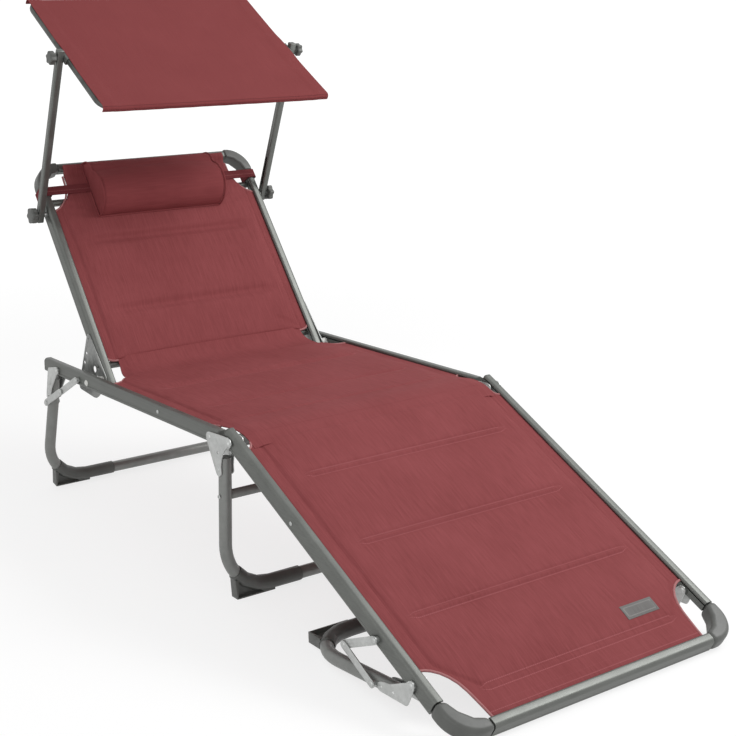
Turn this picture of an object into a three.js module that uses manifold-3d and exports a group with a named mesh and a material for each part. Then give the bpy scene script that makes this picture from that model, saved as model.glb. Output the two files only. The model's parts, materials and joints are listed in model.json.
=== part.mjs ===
// Three-leg folding sun lounger with a swivelling sunshade.
// Millimetres. +X runs from the head to the foot, +Y is the sleeper's left, +Z is up.
// Each section of the frame is built in a frame of its own: x along its rails, z square to them.

import * as THREE from 'three';
import { mergeVertices } from 'three/addons/utils/BufferGeometryUtils.js';
import Module from 'manifold-3d';

const wasm = await Module();
wasm.setup();

// Clearances and fineness
const gap = 0.3;
const overrun = 6;
const pivotGap = 0.45;
const fineFacets = 12;
const tubeFacets = 10;
const pinFacets = 8;
const rivetFacets = 6;
const quarterTurn = 90;
const halfTurn = 180;
const degree = Math.PI / halfTurn;

// Side rails: a flat-sided aluminium section with a keder groove inside and a bead below
const railSpan = 647;
const railWidth = 20;
const railAbove = 16.5;
const railBelow = 12.5;
const railFaceDrop = 5.5;
const railWall = 1.6;
const railCrown = 8;
const railInnerCrown = 4.5;
const railFoot = 3;
const beadWidth = 7;
const beadNotch = 1;
const grooveMouth = 3;
const grooveBore = 3.2;
const grooveHeight = 9.5;
const plugFlange = 3;
const plugRound = 1.2;

// Seat section
const seatTilt = 1.38;
const seatRear = 700;
const hingeOverhang = 24;
const reclineBehind = 495.8;
const rearLegBehind = 633;
const stayAhead = 99;
const stayDrop = 1.2;

// Back section
const backInset = 22.5;
const reclineAngle = 52.3;
const backLength = 529;
const backBelow = 24;
const crossbarRadius = 8;
const crossbarDrop = 5;
const crossbarScrewDrop = 1.4;
const lowerCrossbarAt = 34;
const upperCrossbarInset = 83;

// Foot section
const footLength = 693;
const footLegInset = 112;

// Plastic corner elbows of the back and foot sections
const elbowLeg = 52;
const elbowFootLeg = 62;
const elbowProud = 1.2;
const elbowRound = 4;
const elbowCorner = 54;
const elbowTenon = 22;

// Middle hinge and the plates that carry it
const midHeight = 321.4;
const hingePitch = 62.3;
const hingeRise = 2.6;
const midLegAhead = 32;
const plateThickness = 2;
const hingeRearLobe = 10.5;
const hingeFrontLobe = 12;
const hingeTipLobe = 8.5;
const hingeRivetDrop = 56;
const hingeTipDrop = 60;
const hingeWaist = 13;
const dimpleRadius = 2.6;
const dimpleDrop = 23;
const dimpleAhead = 29;

// Round tube of the three legs
const tubeRadius = 12.5;
const tubeWall = 1.6;
const tubeBend = 100;
const tubeTop = 31;
const midTubeTop = 33;
const soleThickness = 2.7;
const bendSteps = 4;

// Folding end legs, their brackets and two-link stays
const legOffset = 26.5;
const legOpenAngle = 104.4;
const bracketLobe = 9;
const bracketHeel = 6;
const bracketTip = 8;
const bracketHeelDrop = 13;
const bracketFirstRivet = 44;
const bracketLastRivet = 73.5;
const bracketTipDrop = 75.5;
const bracketHeelBehind = 31.5;
const bracketWaist = 5;
const stayOnLeg = 93;
const stayWidth = 15;
const stayThickness = 2;
const stayClear = 0.5;

// Boots at the bottom corners of the legs
const bootSkin = 2.4;
const bootBar = 72;
const bootStartAngle = 38;
const bootReach = 303;
const bootHeel = 40;
const bootWidth = 20;
const bootWall = 2.6;
const bootToe = 88;
const bootFlare = 4;
const bootPocket = 62;
const bootSteps = 3;

// Crossbar of the middle leg
const midBarHeight = 19;
const midBarDepth = 13;
const midBarDrop = 109;

// Rivets, pins, bushes and screws
const pinRadius = 4;
const pinHead = 7.2;
const pinHeadHeight = 2.4;
const rivetRadius = 2.5;
const rivetHead = 4.6;
const rivetHeadHeight = 1.8;
const domeShare = 0.65;
const screwRadius = 2.2;
const screwBite = 12;
const stayPin = 2.5;
const stayPinHead = 5.6;
const shoulderRadius = 5.6;
const washerRadius = 9;
const bushRadius = 9.5;

// Recline plate behind the back rail, with its row of position holes
const fanHeight = 112;
const fanReach = 112;
const fanTipUp = 34;
const fanTopRise = 2;
const fanLobe = 17;
const fanTopLobe = 8;
const fanBelly = 26;
const fanBellyUp = 6;
const fanBellyReach = 46;
const fanHolePitch = 86;
const fanHoleRadius = 4;
const fanHoles = 4;
const fanEngaged = 2;
const fanHoleStepAngle = 16.3;
const fanWindowAt = 40;
const fanWindowRadius = 7.5;
const fanWindowAngle = 28;
const fanEyeAt = 25;
const fanEyeRadius = 4.5;
const fanEyeAngle = 52;
const detentRadius = 6.5;
const detentNose = 3.4;
const detentNoseLength = 4;

// Soft parts: one thin padded panel for each section
const padBottom = 5;
const padTop = 15.5;
const padSide = 0.8;
const padRound = 2.5;
const seatPadStart = 48;
const seatPadEnd = 26;
const jointNotch = 26;
const backPadStart = 40;
const backPadHead = 12;
const headNotchLength = 92;
const headNotchDepth = 45;
const pivotNotchLength = 8;
const pivotNotchDepth = 20;
const footPadStart = 26;
const footPadEnd = 12;
const footNotchLength = 112;
const footNotchDepth = 70;

// Pillow and the straps that hold it on the back rails
const pillowLength = 336;
const pillowShift = -6;
const pillowInset = 1;
const pillowDepth = 142;
const pillowHeight = 70;
const pillowCrown = 82;
const pillowShoulder = 42;
const pillowClear = 1.3;
const strapWidth = 22;
const strapThickness = 1.4;
const strapInset = 63.5;
const strapLoose = 1.5;

// Sunshade
const armSide = 15;
const armWall = 1.5;
const armRound = 2;
const armLength = 374;
const armTail = 14;
const armInset = 112;
const armAngle = 71.3;
const armSlotLength = 70;
const armSlotWidth = 6;
const armSlotStart = 26;
const armSpacer = 6;
const shadeAngle = 32.2;
const shadeRear = 206.5;
const shadeFront = 183.5;
const shadeJointHalf = 8.5;
const shadeBar = 6.5;
const shadeBarWall = 1.2;
const shadeBend = 30;
const shadeBendSteps = 3;
const shadeJointLength = 34;
const jointRound = 2.5;
const shadeSocket = 11;
const shadeCloth = 2.2;
const sleeveInset = 4.5;
const clothInset = 10.5;
const studRadius = 3;
const studHead = 6;
const studHeadHeight = 2;
const studShoulder = 6;
const knobDipShare = 0.2;
const knobBoreShare = 0.6;
const knobLobes = 6;
const lowerKnob = 19;
const upperKnob = 15;
const knobHeight = 14;
const knobBoss = 7;
const knobBossHeight = 4;
const knobRound = 2.5;
const knobFacets = 18;

// Places that follow from the sizes above
const railY = railSpan / 2;
const railHalf = railWidth / 2;
const railInner = railY - railHalf;
const railOuter = railY + railHalf;
const backY = railY - railWidth - backInset;
const backInner = backY - railHalf;
const backOuter = backY + railHalf;
const plateInner = railY - tubeRadius - gap;
const plateOuter = railY + tubeRadius + gap;
const innerStay = plateOuter + plateThickness + stayClear;
const outerStay = innerStay + stayThickness + stayClear;
const fanInner = backOuter + gap;
const fanOuter = fanInner + plateThickness;
const armInner = backOuter + armSpacer + gap;
const armOuter = armInner + armSide;
const armMiddle = armInner + armSide / 2;
const shadeHalf = armInner - gap - shadeJointHalf;
const jointInner = shadeHalf - shadeJointHalf;
const sleeveHalf = shadeHalf - shadeBend - sleeveInset;
const clothHalf = shadeHalf - clothInset;
const knobBase = armOuter + gap;
const knobBore = knobBossHeight + knobHeight * knobBoreShare;
const studEnd = knobBase + knobBore - gap;
const pivotBore = pinRadius + pivotGap;
const upperCrossbarAt = backLength - upperCrossbarInset;
const armAlong = backLength - armInset;
const pillowTo = backLength - pillowInset;
const pillowFrom = pillowTo - pillowDepth;
const strapAt = backLength - strapInset;
const footLegAt = footLength - footLegInset;
const barDrop = soleThickness + tubeRadius;
const bootRadius = tubeRadius + bootSkin;

// Materials, one per finish
function finish(color, roughness, metalness) {
  return new THREE.MeshStandardMaterial({ color, roughness, metalness });
}
const aluminium = finish(0x8b8d88, 0.42, 0.8);
const galvanised = finish(0xb9bcb8, 0.45, 0.75);
const darkPlastic = finish(0x4a4c4a, 0.6, 0);
const nylon = finish(0xdcdcd6, 0.5, 0);
const sling = finish(0x84393f, 0.9, 0);
const shadeFabric = finish(0x7d353b, 0.9, 0);

// Scene graph helpers
function section(parent, x, z, turn) {
  const group = new THREE.Group();
  group.position.set(x, 0, z);
  group.rotation.y = turn * degree;
  parent.add(group);
  return group;
}

function place(parent, name, geometry, material) {
  const mesh = new THREE.Mesh(geometry, material.clone());
  mesh.name = name;
  parent.add(mesh);
  return mesh;
}

const sides = [['left', 1], ['right', -1]];

// Geometry helpers
function bare(geometry) {
  const copy = geometry.clone();
  for (const name of Object.keys(copy.attributes)) {
    if (name !== 'position') copy.deleteAttribute(name);
  }
  return mergeVertices(copy);
}

function toSolid(geometry) {
  const closed = bare(geometry);
  return new wasm.Manifold(new wasm.Mesh({
    numProp: 3,
    vertProperties: new Float32Array(closed.attributes.position.array),
    triVerts: new Uint32Array(closed.index.array),
  }));
}

function fromSolid(solid) {
  const mesh = solid.getMesh();
  const geometry = new THREE.BufferGeometry();
  geometry.setAttribute('position', new THREE.BufferAttribute(new Float32Array(mesh.vertProperties), 3));
  geometry.setIndex(new THREE.BufferAttribute(new Uint32Array(mesh.triVerts), 1));
  return geometry;
}

function join(pieces) {
  return fromSolid(pieces.map(toSolid).reduce((sum, piece) => sum.add(piece)));
}

function cut(body, tools) {
  return fromSolid(tools.map(toSolid).reduce((rest, tool) => rest.subtract(tool), toSolid(body)));
}

function arc(x, y, radius, from, to, steps) {
  const points = [];
  for (let i = 0; i <= steps; i += 1) {
    const angle = (from + (to - from) * i / steps) * degree;
    points.push(new THREE.Vector2(x + radius * Math.cos(angle), y + radius * Math.sin(angle)));
  }
  return points;
}

function point(x, y) {
  return new THREE.Vector2(x, y);
}

function extrude(shape, depth) {
  return new THREE.ExtrudeGeometry(shape, { depth, bevelEnabled: false, curveSegments: fineFacets });
}

// A section drawn in Y and Z, run along X.
function alongX(shape, from, to) {
  const turn = new THREE.Matrix4().makeBasis(
    new THREE.Vector3(0, 1, 0), new THREE.Vector3(0, 0, 1), new THREE.Vector3(1, 0, 0));
  return extrude(shape, to - from).applyMatrix4(turn).translate(from, 0, 0);
}

// A section drawn in X and Z, run across Y.
function acrossY(shape, from, to) {
  const turn = new THREE.Matrix4().makeBasis(
    new THREE.Vector3(1, 0, 0), new THREE.Vector3(0, 0, 1), new THREE.Vector3(0, -1, 0));
  return extrude(shape, to - from).applyMatrix4(turn).translate(0, to, 0);
}

// The same run between two distances from the centre line, on one side of it.
function acrossSide(shape, side, near, far) {
  return side > 0 ? acrossY(shape, near, far) : acrossY(shape, -far, -near);
}

function rod(radius, from, to, x, z, facets = pinFacets) {
  return new THREE.CylinderGeometry(radius, radius, to - from, facets)
    .translate(x, (from + to) / 2, z);
}

function sideRod(radius, side, near, far, x, z, facets = pinFacets) {
  return side > 0 ? rod(radius, near, far, x, z, facets) : rod(radius, -far, -near, x, z, facets);
}

// A turned fastener on a Y axis: stations are [distance from the centre line, radius].
function turned(stations, side, x, z, facets = pinFacets) {
  const profile = stations.map(([distance, radius]) => point(radius, distance));
  const piece = new THREE.LatheGeometry(profile, facets);
  if (side < 0) piece.rotateZ(Math.PI);
  return piece.translate(x, 0, z);
}

// A domed head whose flat side is at the given distance, growing in the given direction.
function dome(distance, toward, radius, height) {
  const stations = [
    [distance, radius], [distance + toward * height, domeShare * radius], [distance + toward * height, 0],
  ];
  return toward > 0 ? stations : stations.reverse();
}

// A path through given stations, so that straight runs take no extra faces.
class StationPath extends THREE.Curve {
  constructor(stations) {
    super();
    this.stations = stations;
  }
  getPoint(t, target = new THREE.Vector3()) {
    const last = this.stations.length - 1;
    const index = Math.min(Math.floor(t * last), last - 1);
    return target.lerpVectors(this.stations[index], this.stations[index + 1], t * last - index);
  }
  getPointAt(u, target) {
    return this.getPoint(u, target);
  }
  getTangentAt(u, target = new THREE.Vector3()) {
    const last = this.stations.length - 1;
    const index = Math.round(u * last);
    const before = this.stations[Math.max(index - 1, 0)];
    const after = this.stations[Math.min(index + 1, last)];
    const here = this.stations[index];
    const arrive = index > 0 ? here.clone().sub(before).normalize() : new THREE.Vector3();
    const leave = index < last ? after.clone().sub(here).normalize() : new THREE.Vector3();
    return target.addVectors(arrive, leave).normalize();
  }
}

function sweep(stations, outer, inner, facets) {
  const shape = new THREE.Shape(arc(0, 0, outer, 0, 360 - 360 / facets, facets - 1));
  if (inner > 0) shape.holes.push(new THREE.Path(arc(0, 0, inner, 0, 360 - 360 / facets, facets - 1)));
  return new THREE.ExtrudeGeometry(shape, {
    steps: stations.length - 1, extrudePath: new StationPath(stations),
  });
}

// An outline of round lobes joined by straight flanks: lobes are [x, z, radius], anticlockwise.
function lobeOutline(lobes, facets) {
  const points = [];
  lobes.forEach(([x, z, radius], index) => {
    const [px, pz, pr] = lobes[(index + lobes.length - 1) % lobes.length];
    const [nx, nz, nr] = lobes[(index + 1) % lobes.length];
    const arrive = Math.atan2(z - pz, x - px) - Math.asin((radius - pr) / Math.hypot(x - px, z - pz));
    const leave = Math.atan2(nz - z, nx - x) - Math.asin((nr - radius) / Math.hypot(nx - x, nz - z));
    let turn = (leave - arrive) / degree;
    while (turn < 0) turn += 360;
    const start = arrive / degree - 90;
    points.push(...arc(x, z, radius, start, start + turn, Math.max(2, Math.round(facets * turn / 360))));
  });
  return points;
}

function strip(x0, z0, x1, z1, width) {
  const half = width / 2;
  return new THREE.Shape(lobeOutline([[x0, z0, half], [x1, z1, half]], pinFacets));
}

// Points mirrored to one side of the centre line, still anticlockwise.
function mirrored(points, side) {
  const placed = points.map(({ x, y }) => point(side * x, y));
  return side > 0 ? placed : placed.reverse();
}

// Rail section, with its bead and keder groove turned to the given side of the frame.
function railOutline(side, grooved) {
  const outline = [
    ...arc(-railHalf + railFoot, -railFaceDrop + railFoot, railFoot, 180, 270, 2),
    point(railHalf - beadWidth, -railFaceDrop),
    ...arc(railHalf - beadWidth / 2, -railBelow + beadWidth / 2, beadWidth / 2, 180, 360, 4),
    point(railHalf, -railFaceDrop - beadNotch),
    point(railHalf - beadNotch, -railFaceDrop),
    point(railHalf, -railFaceDrop + beadNotch),
    ...arc(railHalf - railCrown, railAbove - railCrown, railCrown, 0, 90, 3),
    ...arc(-railHalf + railInnerCrown, railAbove - railInnerCrown, railInnerCrown, 90, 180, 2),
  ];
  if (grooved) {
    const mouth = Math.asin(grooveMouth / 2 / grooveBore) / degree;
    const boreAt = -railHalf + railWall + grooveBore * Math.cos(mouth * degree);
    outline.push(point(-railHalf, grooveHeight + grooveMouth / 2));
    outline.push(...arc(boreAt, grooveHeight, grooveBore, halfTurn - mouth, mouth - halfTurn, 5));
    outline.push(point(-railHalf, grooveHeight - grooveMouth / 2));
  }
  return mirrored(outline, side);
}

// Hollow of the rail section; a tenon fills it less a clearance.
function railChamber(side, shrink) {
  const floor = -railFaceDrop + railWall + shrink;
  const shelf = grooveHeight - grooveBore - railWall - shrink;
  const ceiling = railAbove - railWall - shrink;
  const near = -railHalf + railWall + shrink;
  const far = railHalf - railWall - shrink;
  const lane = -railHalf + 3 * railWall + 2 * grooveBore + shrink;
  return mirrored([
    point(near, floor), point(far, floor), point(far, railAbove - railCrown),
    point(railHalf - railCrown, ceiling), point(lane, ceiling), point(lane, shelf), point(near, shelf),
  ], side);
}

function railShape(side) {
  const shape = new THREE.Shape(railOutline(side, true));
  shape.holes.push(new THREE.Path(railChamber(side, 0)));
  return shape;
}

function tenonShape(side) {
  return new THREE.Shape(railChamber(side, gap));
}

// A side rail between two places on X, with holes [radius, x, z] drilled across it.
function sideRail(side, middle, from, to, holes) {
  const blank = alongX(railShape(side), from, to).translate(0, side * middle, 0);
  return cut(blank, holes.map(([radius, x, z]) => (
    sideRod(radius, side, middle - railWidth, middle + railWidth, x, z))));
}

// A section run across the end of a frame at the given x, with its outer face turned outward.
function acrossEnd(shape, outward, from, to, x) {
  const run = outward < 0 ? alongX(shape, from, to) : alongX(shape, -to, -from);
  return run.rotateZ(-outward * Math.PI / 2).translate(x, 0, 0);
}

// An outline extruded with softened edges, from z 0 up.
function softened(outline, height, round, segments) {
  return new THREE.ExtrudeGeometry(new THREE.Shape(outline), {
    depth: height - 2 * round, bevelEnabled: true, bevelThickness: round, bevelSize: round,
    bevelOffset: -round, bevelSegments: segments, curveSegments: pinFacets,
  }).translate(0, 0, round);
}

function slab(outline, bottom, top, round) {
  return softened(outline, top - bottom, round, 1).translate(0, 0, bottom);
}

// Closed end of a rail, where its plastic plug sits.
function railPlug(side, middle, x, outward) {
  const turn = new THREE.Matrix4().makeBasis(
    new THREE.Vector3(0, 1, 0), new THREE.Vector3(0, 0, 1), new THREE.Vector3(1, 0, 0));
  const start = outward > 0 ? x - plugRound : x - plugFlange;
  return softened(railOutline(side, false), plugFlange + plugRound, plugRound, 1)
    .applyMatrix4(turn).translate(start, side * middle, 0);
}

// The disc that bites a shallow curve out of a straight flank.
function flankDisc(side, near, far, x0, z0, x1, z1, depth) {
  const chord = Math.hypot(x1 - x0, z1 - z0);
  const radius = (chord * chord / 4 + depth * depth) / (2 * depth);
  const out = (radius - depth) / chord;
  return sideRod(radius, side, near - overrun, far + overrun,
    (x0 + x1) / 2 + (z1 - z0) * out, (z0 + z1) / 2 + (x0 - x1) * out, 2 * fineFacets);
}

// A plate cut from an outline of lobes, with holes [radius, x, z] and any other cuts.
function plate(side, near, lobes, holes, cuts = []) {
  const far = near + plateThickness;
  const blank = acrossSide(new THREE.Shape(lobeOutline(lobes, tubeFacets)), side, near, far);
  return cut(blank, [
    ...holes.map(([radius, x, z]) => sideRod(radius, side, near - overrun, far + overrun, x, z)),
    ...cuts,
  ]);
}

// A pivot pin headed on both plates, with the nylon washers that keep the rail between them.
function hingePin(side, x, z) {
  const inner = plateInner - plateThickness / 2;
  const outer = plateOuter + plateThickness / 2;
  const head = pinHeadHeight + plateThickness / 2;
  return turned([
    ...dome(inner, -1, pinHead, head), [inner, washerRadius], [railInner - gap, washerRadius],
    [railInner - gap, pinRadius], [railOuter + gap, pinRadius], [railOuter + gap, washerRadius],
    [outer, washerRadius], ...dome(outer, 1, pinHead, head),
  ], side, x, z);
}

// A rivet headed on both plates, through the leg between them.
function plateRivet(side, x, z) {
  const inner = plateInner - plateThickness / 2;
  const outer = plateOuter + plateThickness / 2;
  const head = rivetHeadHeight + plateThickness / 2;
  return turned([
    ...dome(inner, -1, rivetHead, head), [inner, rivetRadius],
    [outer, rivetRadius], ...dome(outer, 1, rivetHead, head),
  ], side, x, z, rivetFacets);
}

// A pin headed into what carries it, past a spacer, then through the link that turns on it.
function linkPin(side, near, far, linkAt, x, z) {
  const end = linkAt + stayThickness + gap;
  return turned([
    ...dome(near + tubeWall, -1, stayPinHead, rivetHeadHeight + tubeWall), [near + tubeWall, stayPin],
    [far - tubeWall, stayPin], [far - tubeWall, shoulderRadius], [linkAt - gap, shoulderRadius],
    [linkAt - gap, stayPin], [end, stayPin], ...dome(end, 1, stayPinHead, rivetHeadHeight),
  ], side, x, z);
}

// A screw driven inwards from the face at the given distance.
function screw(side, face, tip, x, z) {
  return turned([
    [tip, 0], [tip, screwRadius], [face + gap, screwRadius],
    ...dome(face + gap, 1, rivetHead, rivetHeadHeight),
  ], side, x, z, rivetFacets);
}

// Middle leg frame: it carries the seat at its rear pivot and the foot section at its front one
const lounger = new THREE.Group();
const midLeg = section(lounger, 0, midHeight, 0);

// A leg's path: down one side, round the bend and along the bar, then the same mirrored.
function legStations(x, top, height) {
  const bar = barDrop - height;
  const half = [new THREE.Vector3(x, railY, -top)];
  for (let i = 0; i <= bendSteps; i += 1) {
    const angle = Math.PI / 2 * i / bendSteps;
    half.push(new THREE.Vector3(x, railY - tubeBend * (1 - Math.cos(angle)),
      bar + tubeBend * (1 - Math.sin(angle))));
  }
  return [...half, ...half.map(({ y, z }) => new THREE.Vector3(x, -y, z)).reverse()];
}

function legTube(x, top, height, holes) {
  const tube = sweep(legStations(x, top, height), tubeRadius, tubeRadius - tubeWall, tubeFacets);
  const reach = tubeRadius + overrun;
  return cut(tube, sides.flatMap(([, side]) => holes.map(([radius, z]) => (
    sideRod(radius + gap, side, railY - reach, railY + reach, x, z, rivetFacets)))));
}

// Boot: a skin round the bend and the bar, with a pocketed wedge that squares the corner.
function boot(side, x, height) {
  const bar = barDrop - height;
  const barEnd = railY - tubeBend - bootBar;
  const bend = [];
  for (let i = 0; i <= bootSteps; i += 1) {
    const angle = (bootStartAngle + (90 - bootStartAngle) * i / bootSteps) * degree;
    bend.push(new THREE.Vector3(x, side * (railY - tubeBend * (1 - Math.cos(angle))),
      bar + tubeBend * (1 - Math.sin(angle))));
  }
  bend.push(new THREE.Vector3(x, side * barEnd, bar));
  const passage = legStations(x, tubeTop, height).slice(0, bendSteps + 2)
    .map(({ y, z }) => new THREE.Vector3(x, side * y, z));
  passage.push(new THREE.Vector3(x, side * (barEnd - overrun), bar));
  const heel = [
    point(bootReach - bootToe, -height), point(bootReach, -height),
    point(bootReach + bootFlare, bootHeel - height), point(bootReach - bootToe, bar),
  ];
  const pocket = [
    point(bootReach - bootPocket, bootWall - height), point(bootReach - bootWall, bootWall - height),
    point(bootReach - bootWall, bootHeel - height),
  ];
  const run = (points, from, to) => alongX(
    new THREE.Shape(points.map((spot) => point(side * spot.x, spot.y))), x + from, x + to);
  const half = bootWidth / 2;
  const wedge = cut(run(heel, -half, half), [
    run(pocket, -half - overrun, -bootWall / 2), run(pocket, bootWall / 2, half + overrun)]);
  return cut(join([sweep(bend, bootRadius, 0, tubeFacets), wedge]),
    [sweep(passage, tubeRadius + gap, 0, tubeFacets)]);
}

place(midLeg, 'mid_leg_tube', legTube(midLegAhead, midTubeTop, midHeight, [
  [rivetRadius, -hingeRivetDrop], [screwRadius, -midBarDrop]]), aluminium);
for (const [label, side] of sides) {
  place(midLeg, `mid_leg_boot_${label}`, boot(side, midLegAhead, midHeight), darkPlastic);
}

// Middle hinge: two waisted plates a side, riveted to the leg, with a pivot pin for each rail
const hingeLobes = [
  [0, 0, hingeRearLobe],
  [midLegAhead, -hingeTipDrop, hingeTipLobe],
  [hingePitch, hingeRise, hingeFrontLobe],
];
function hingePlate(side, near) {
  return plate(side, near, hingeLobes, [[dimpleRadius, dimpleAhead, -dimpleDrop]], [
    flankDisc(side, near, near + plateThickness, midLegAhead + hingeTipLobe, -hingeTipDrop,
      hingePitch + hingeFrontLobe, hingeRise, hingeWaist)]);
}
for (const [label, side] of sides) {
  place(midLeg, `mid_hinge_${label}`, join([
    hingePlate(side, plateOuter), hingePlate(side, plateInner - plateThickness),
    hingePin(side, 0, 0), hingePin(side, hingePitch, hingeRise),
    plateRivet(side, midLegAhead, -hingeRivetDrop),
  ]), galvanised);
}

// Crossbar of the middle leg: an oval bar coped to the legs and screwed through them
const midBarLift = (midBarHeight - midBarDepth) / 2;
const midBarOval = new THREE.Shape(lobeOutline([
  [midLegAhead, -midBarDrop - midBarLift, midBarDepth / 2],
  [midLegAhead, -midBarDrop + midBarLift, midBarDepth / 2],
], fineFacets));
const legCopes = sides.map(([, side]) => new THREE.CylinderGeometry(
  tubeRadius + pivotGap, tubeRadius + pivotGap, 2 * midBarHeight, fineFacets,
).rotateX(Math.PI / 2).translate(midLegAhead, side * railY, -midBarDrop));
const legFace = railY + tubeRadius;
place(midLeg, 'mid_leg_crossbar', join([
  cut(acrossY(midBarOval, -railY, railY), legCopes),
  ...sides.map(([, side]) => (
    screw(side, legFace, legFace - 2 * tubeRadius - screwBite, midLegAhead, -midBarDrop))),
]), aluminium);

// Seat section: side rails with their plugs, hung from the rear pivot of the middle leg
const seatFrame = section(lounger, 0, midHeight, -seatTilt);
const rearLegX = -rearLegBehind;
const rearStayX = rearLegX + stayAhead;
const reclineX = -reclineBehind;
const detentX = reclineX - fanHolePitch;
const seatRailRear = -seatRear + plugFlange + gap;
const seatRailFront = hingeOverhang - plugFlange - gap;

for (const [label, side] of sides) {
  place(seatFrame, `seat_rail_${label}`, join([
    sideRail(side, railY, seatRailRear, seatRailFront, [
      [pivotBore, 0, 0], [pivotBore, rearLegX, 0], [pivotBore, reclineX, 0]]),
    railPlug(side, railY, seatRailRear, -1), railPlug(side, railY, seatRailFront, 1),
    linkPin(side, railInner, railOuter, innerStay, rearStayX, -stayDrop),
  ]), aluminium);
}

// Recline pivot: a long pin through both rails with a bush between them, and a detent behind
for (const [label, side] of sides) {
  place(seatFrame, `recline_pin_${label}`, turned([
    ...dome(backInner - gap, -1, pinHead, pinHeadHeight), [backInner - gap, pinRadius],
    [fanOuter + gap, pinRadius], [fanOuter + gap, bushRadius], [railInner - gap, bushRadius],
    [railInner - gap, pinRadius], [railOuter + gap, pinRadius],
    ...dome(railOuter + gap, 1, pinHead, pinHeadHeight),
  ], side, reclineX, 0), nylon);
  place(seatFrame, `recline_detent_${label}`, turned([
    [fanOuter + gap, 0], [fanOuter + gap, detentNose / 2], [fanOuter + 2 * gap, detentNose],
    [fanOuter + detentNoseLength, detentNose], [fanOuter + detentNoseLength, detentRadius],
    [railInner - gap, detentRadius], [railInner - gap, 0],
  ], side, detentX, 0), galvanised);
}

// Seat panel, rounded off where the middle hinge turns
const seatHalf = railInner - padSide;
const seatPadRear = reclineX + seatPadStart;
const seatOutline = [
  point(seatPadRear, -seatHalf),
  ...arc(-seatPadEnd, -seatHalf, jointNotch, 180, 90, 4),
  ...arc(-seatPadEnd, seatHalf, jointNotch, 270, 180, 4),
  point(seatPadRear, seatHalf),
];
place(seatFrame, 'seat_pad', slab(seatOutline, padBottom, padTop, padRound), sling);

// Back section: x still runs towards the foot, so the head is at minus its length
const backFrame = section(seatFrame, reclineX, 0, reclineAngle + seatTilt);
const backTop = -backLength;
const armX = -armAlong;
const fanRivetX = fanTopLobe - fanHeight;

// Clamping stud of a sunshade arm, headed inside the back rail, with a spacer outside it.
function lowerStud(side, x) {
  return turned([
    [backInner + railWall / 2, 0], [backInner + railWall / 2, studHead],
    [backInner + 2 * railWall, studHead], [backInner + 2 * railWall, studRadius],
    [backOuter - railWall, studRadius],
    [backOuter - railWall, studShoulder], [armInner - gap, studShoulder],
    [armInner - gap, studRadius], [studEnd, studRadius], [studEnd, 0],
  ], side, x, 0);
}

for (const [label, side] of sides) {
  place(backFrame, `back_rail_${label}`, join([
    sideRail(side, backY, backTop + elbowLeg + gap, backBelow, [
      [pivotBore, 0, 0], [rivetRadius + gap, fanRivetX, 0],
      [screwRadius + gap, -lowerCrossbarAt, -crossbarScrewDrop],
      [screwRadius + gap, -upperCrossbarAt, -crossbarScrewDrop],
    ]),
    lowerStud(side, armX),
  ]), aluminium);
}

// Moulded elbow: rounded outside, a straight diagonal inside and a tenon into each rail.
function elbow(side, outward, leg, cornerX, cornerY) {
  const half = railHalf + elbowProud;
  const outline = [
    point(leg, half),
    ...arc(elbowCorner - half, half - elbowCorner, elbowCorner, 90, 180, 6),
    point(-half, -leg), point(half, -leg), point(leg, -half),
  ].map(({ x, y }) => point(cornerX - outward * x, side * (cornerY + y)));
  const alongFace = cornerX - outward * leg;
  const acrossFace = side * (cornerY - leg);
  return join([
    softened(outline, railAbove + railBelow + 2 * elbowProud, elbowRound, 1)
      .translate(0, 0, -railBelow - elbowProud),
    alongX(tenonShape(side), alongFace - elbowTenon, alongFace + elbowTenon)
      .translate(0, side * cornerY, 0),
    acrossEnd(tenonShape(1), outward, acrossFace - elbowTenon, acrossFace + elbowTenon, cornerX),
  ]);
}

const backEndHalf = backY - elbowLeg - gap;
place(backFrame, 'back_top_rail', acrossEnd(railShape(1), -1, -backEndHalf, backEndHalf, backTop),
  aluminium);
for (const [label, side] of sides) {
  place(backFrame, `back_elbow_${label}`, elbow(side, -1, elbowLeg, backTop, backY), darkPlastic);
}

// Round crossbars between the back rails, with the screws that hold them
const crossbarEnd = backInner - gap;
function crossbar(x, screwFace) {
  return join([
    rod(crossbarRadius, -crossbarEnd, crossbarEnd, x, -crossbarDrop, fineFacets),
    ...sides.map(([, side]) => (
      screw(side, screwFace, crossbarEnd - screwBite, x, -crossbarScrewDrop))),
  ]);
}
place(backFrame, 'back_lower_crossbar', crossbar(-lowerCrossbarAt, fanOuter), aluminium);
place(backFrame, 'back_upper_crossbar', crossbar(-upperCrossbarAt, backOuter), aluminium);

// Recline plate: a fan riveted behind the back rail, with a row of holes for the detent
const fanLobes = [
  [0, 0, fanLobe],
  [fanRivetX, fanTopRise, fanTopLobe],
  [-fanTipUp, fanTopLobe - fanReach, fanTopLobe],
  [-fanBellyUp, -fanBellyReach, fanBelly],
];
function fanSpot(radius, distance, angle) {
  return [radius, -distance * Math.cos(angle * degree), -distance * Math.sin(angle * degree)];
}
const fanSpots = [
  [pivotBore, 0, 0], [screwRadius + gap, -lowerCrossbarAt, -crossbarScrewDrop],
  fanSpot(fanWindowRadius, fanWindowAt, fanWindowAngle), fanSpot(fanEyeRadius, fanEyeAt, fanEyeAngle),
];
for (let i = 0; i < fanHoles; i += 1) {
  const angle = reclineAngle + seatTilt + (i - fanEngaged) * fanHoleStepAngle;
  fanSpots.push(fanSpot(fanHoleRadius, fanHolePitch, angle));
}
const fanSeat = fanOuter - plateThickness / 2;
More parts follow.
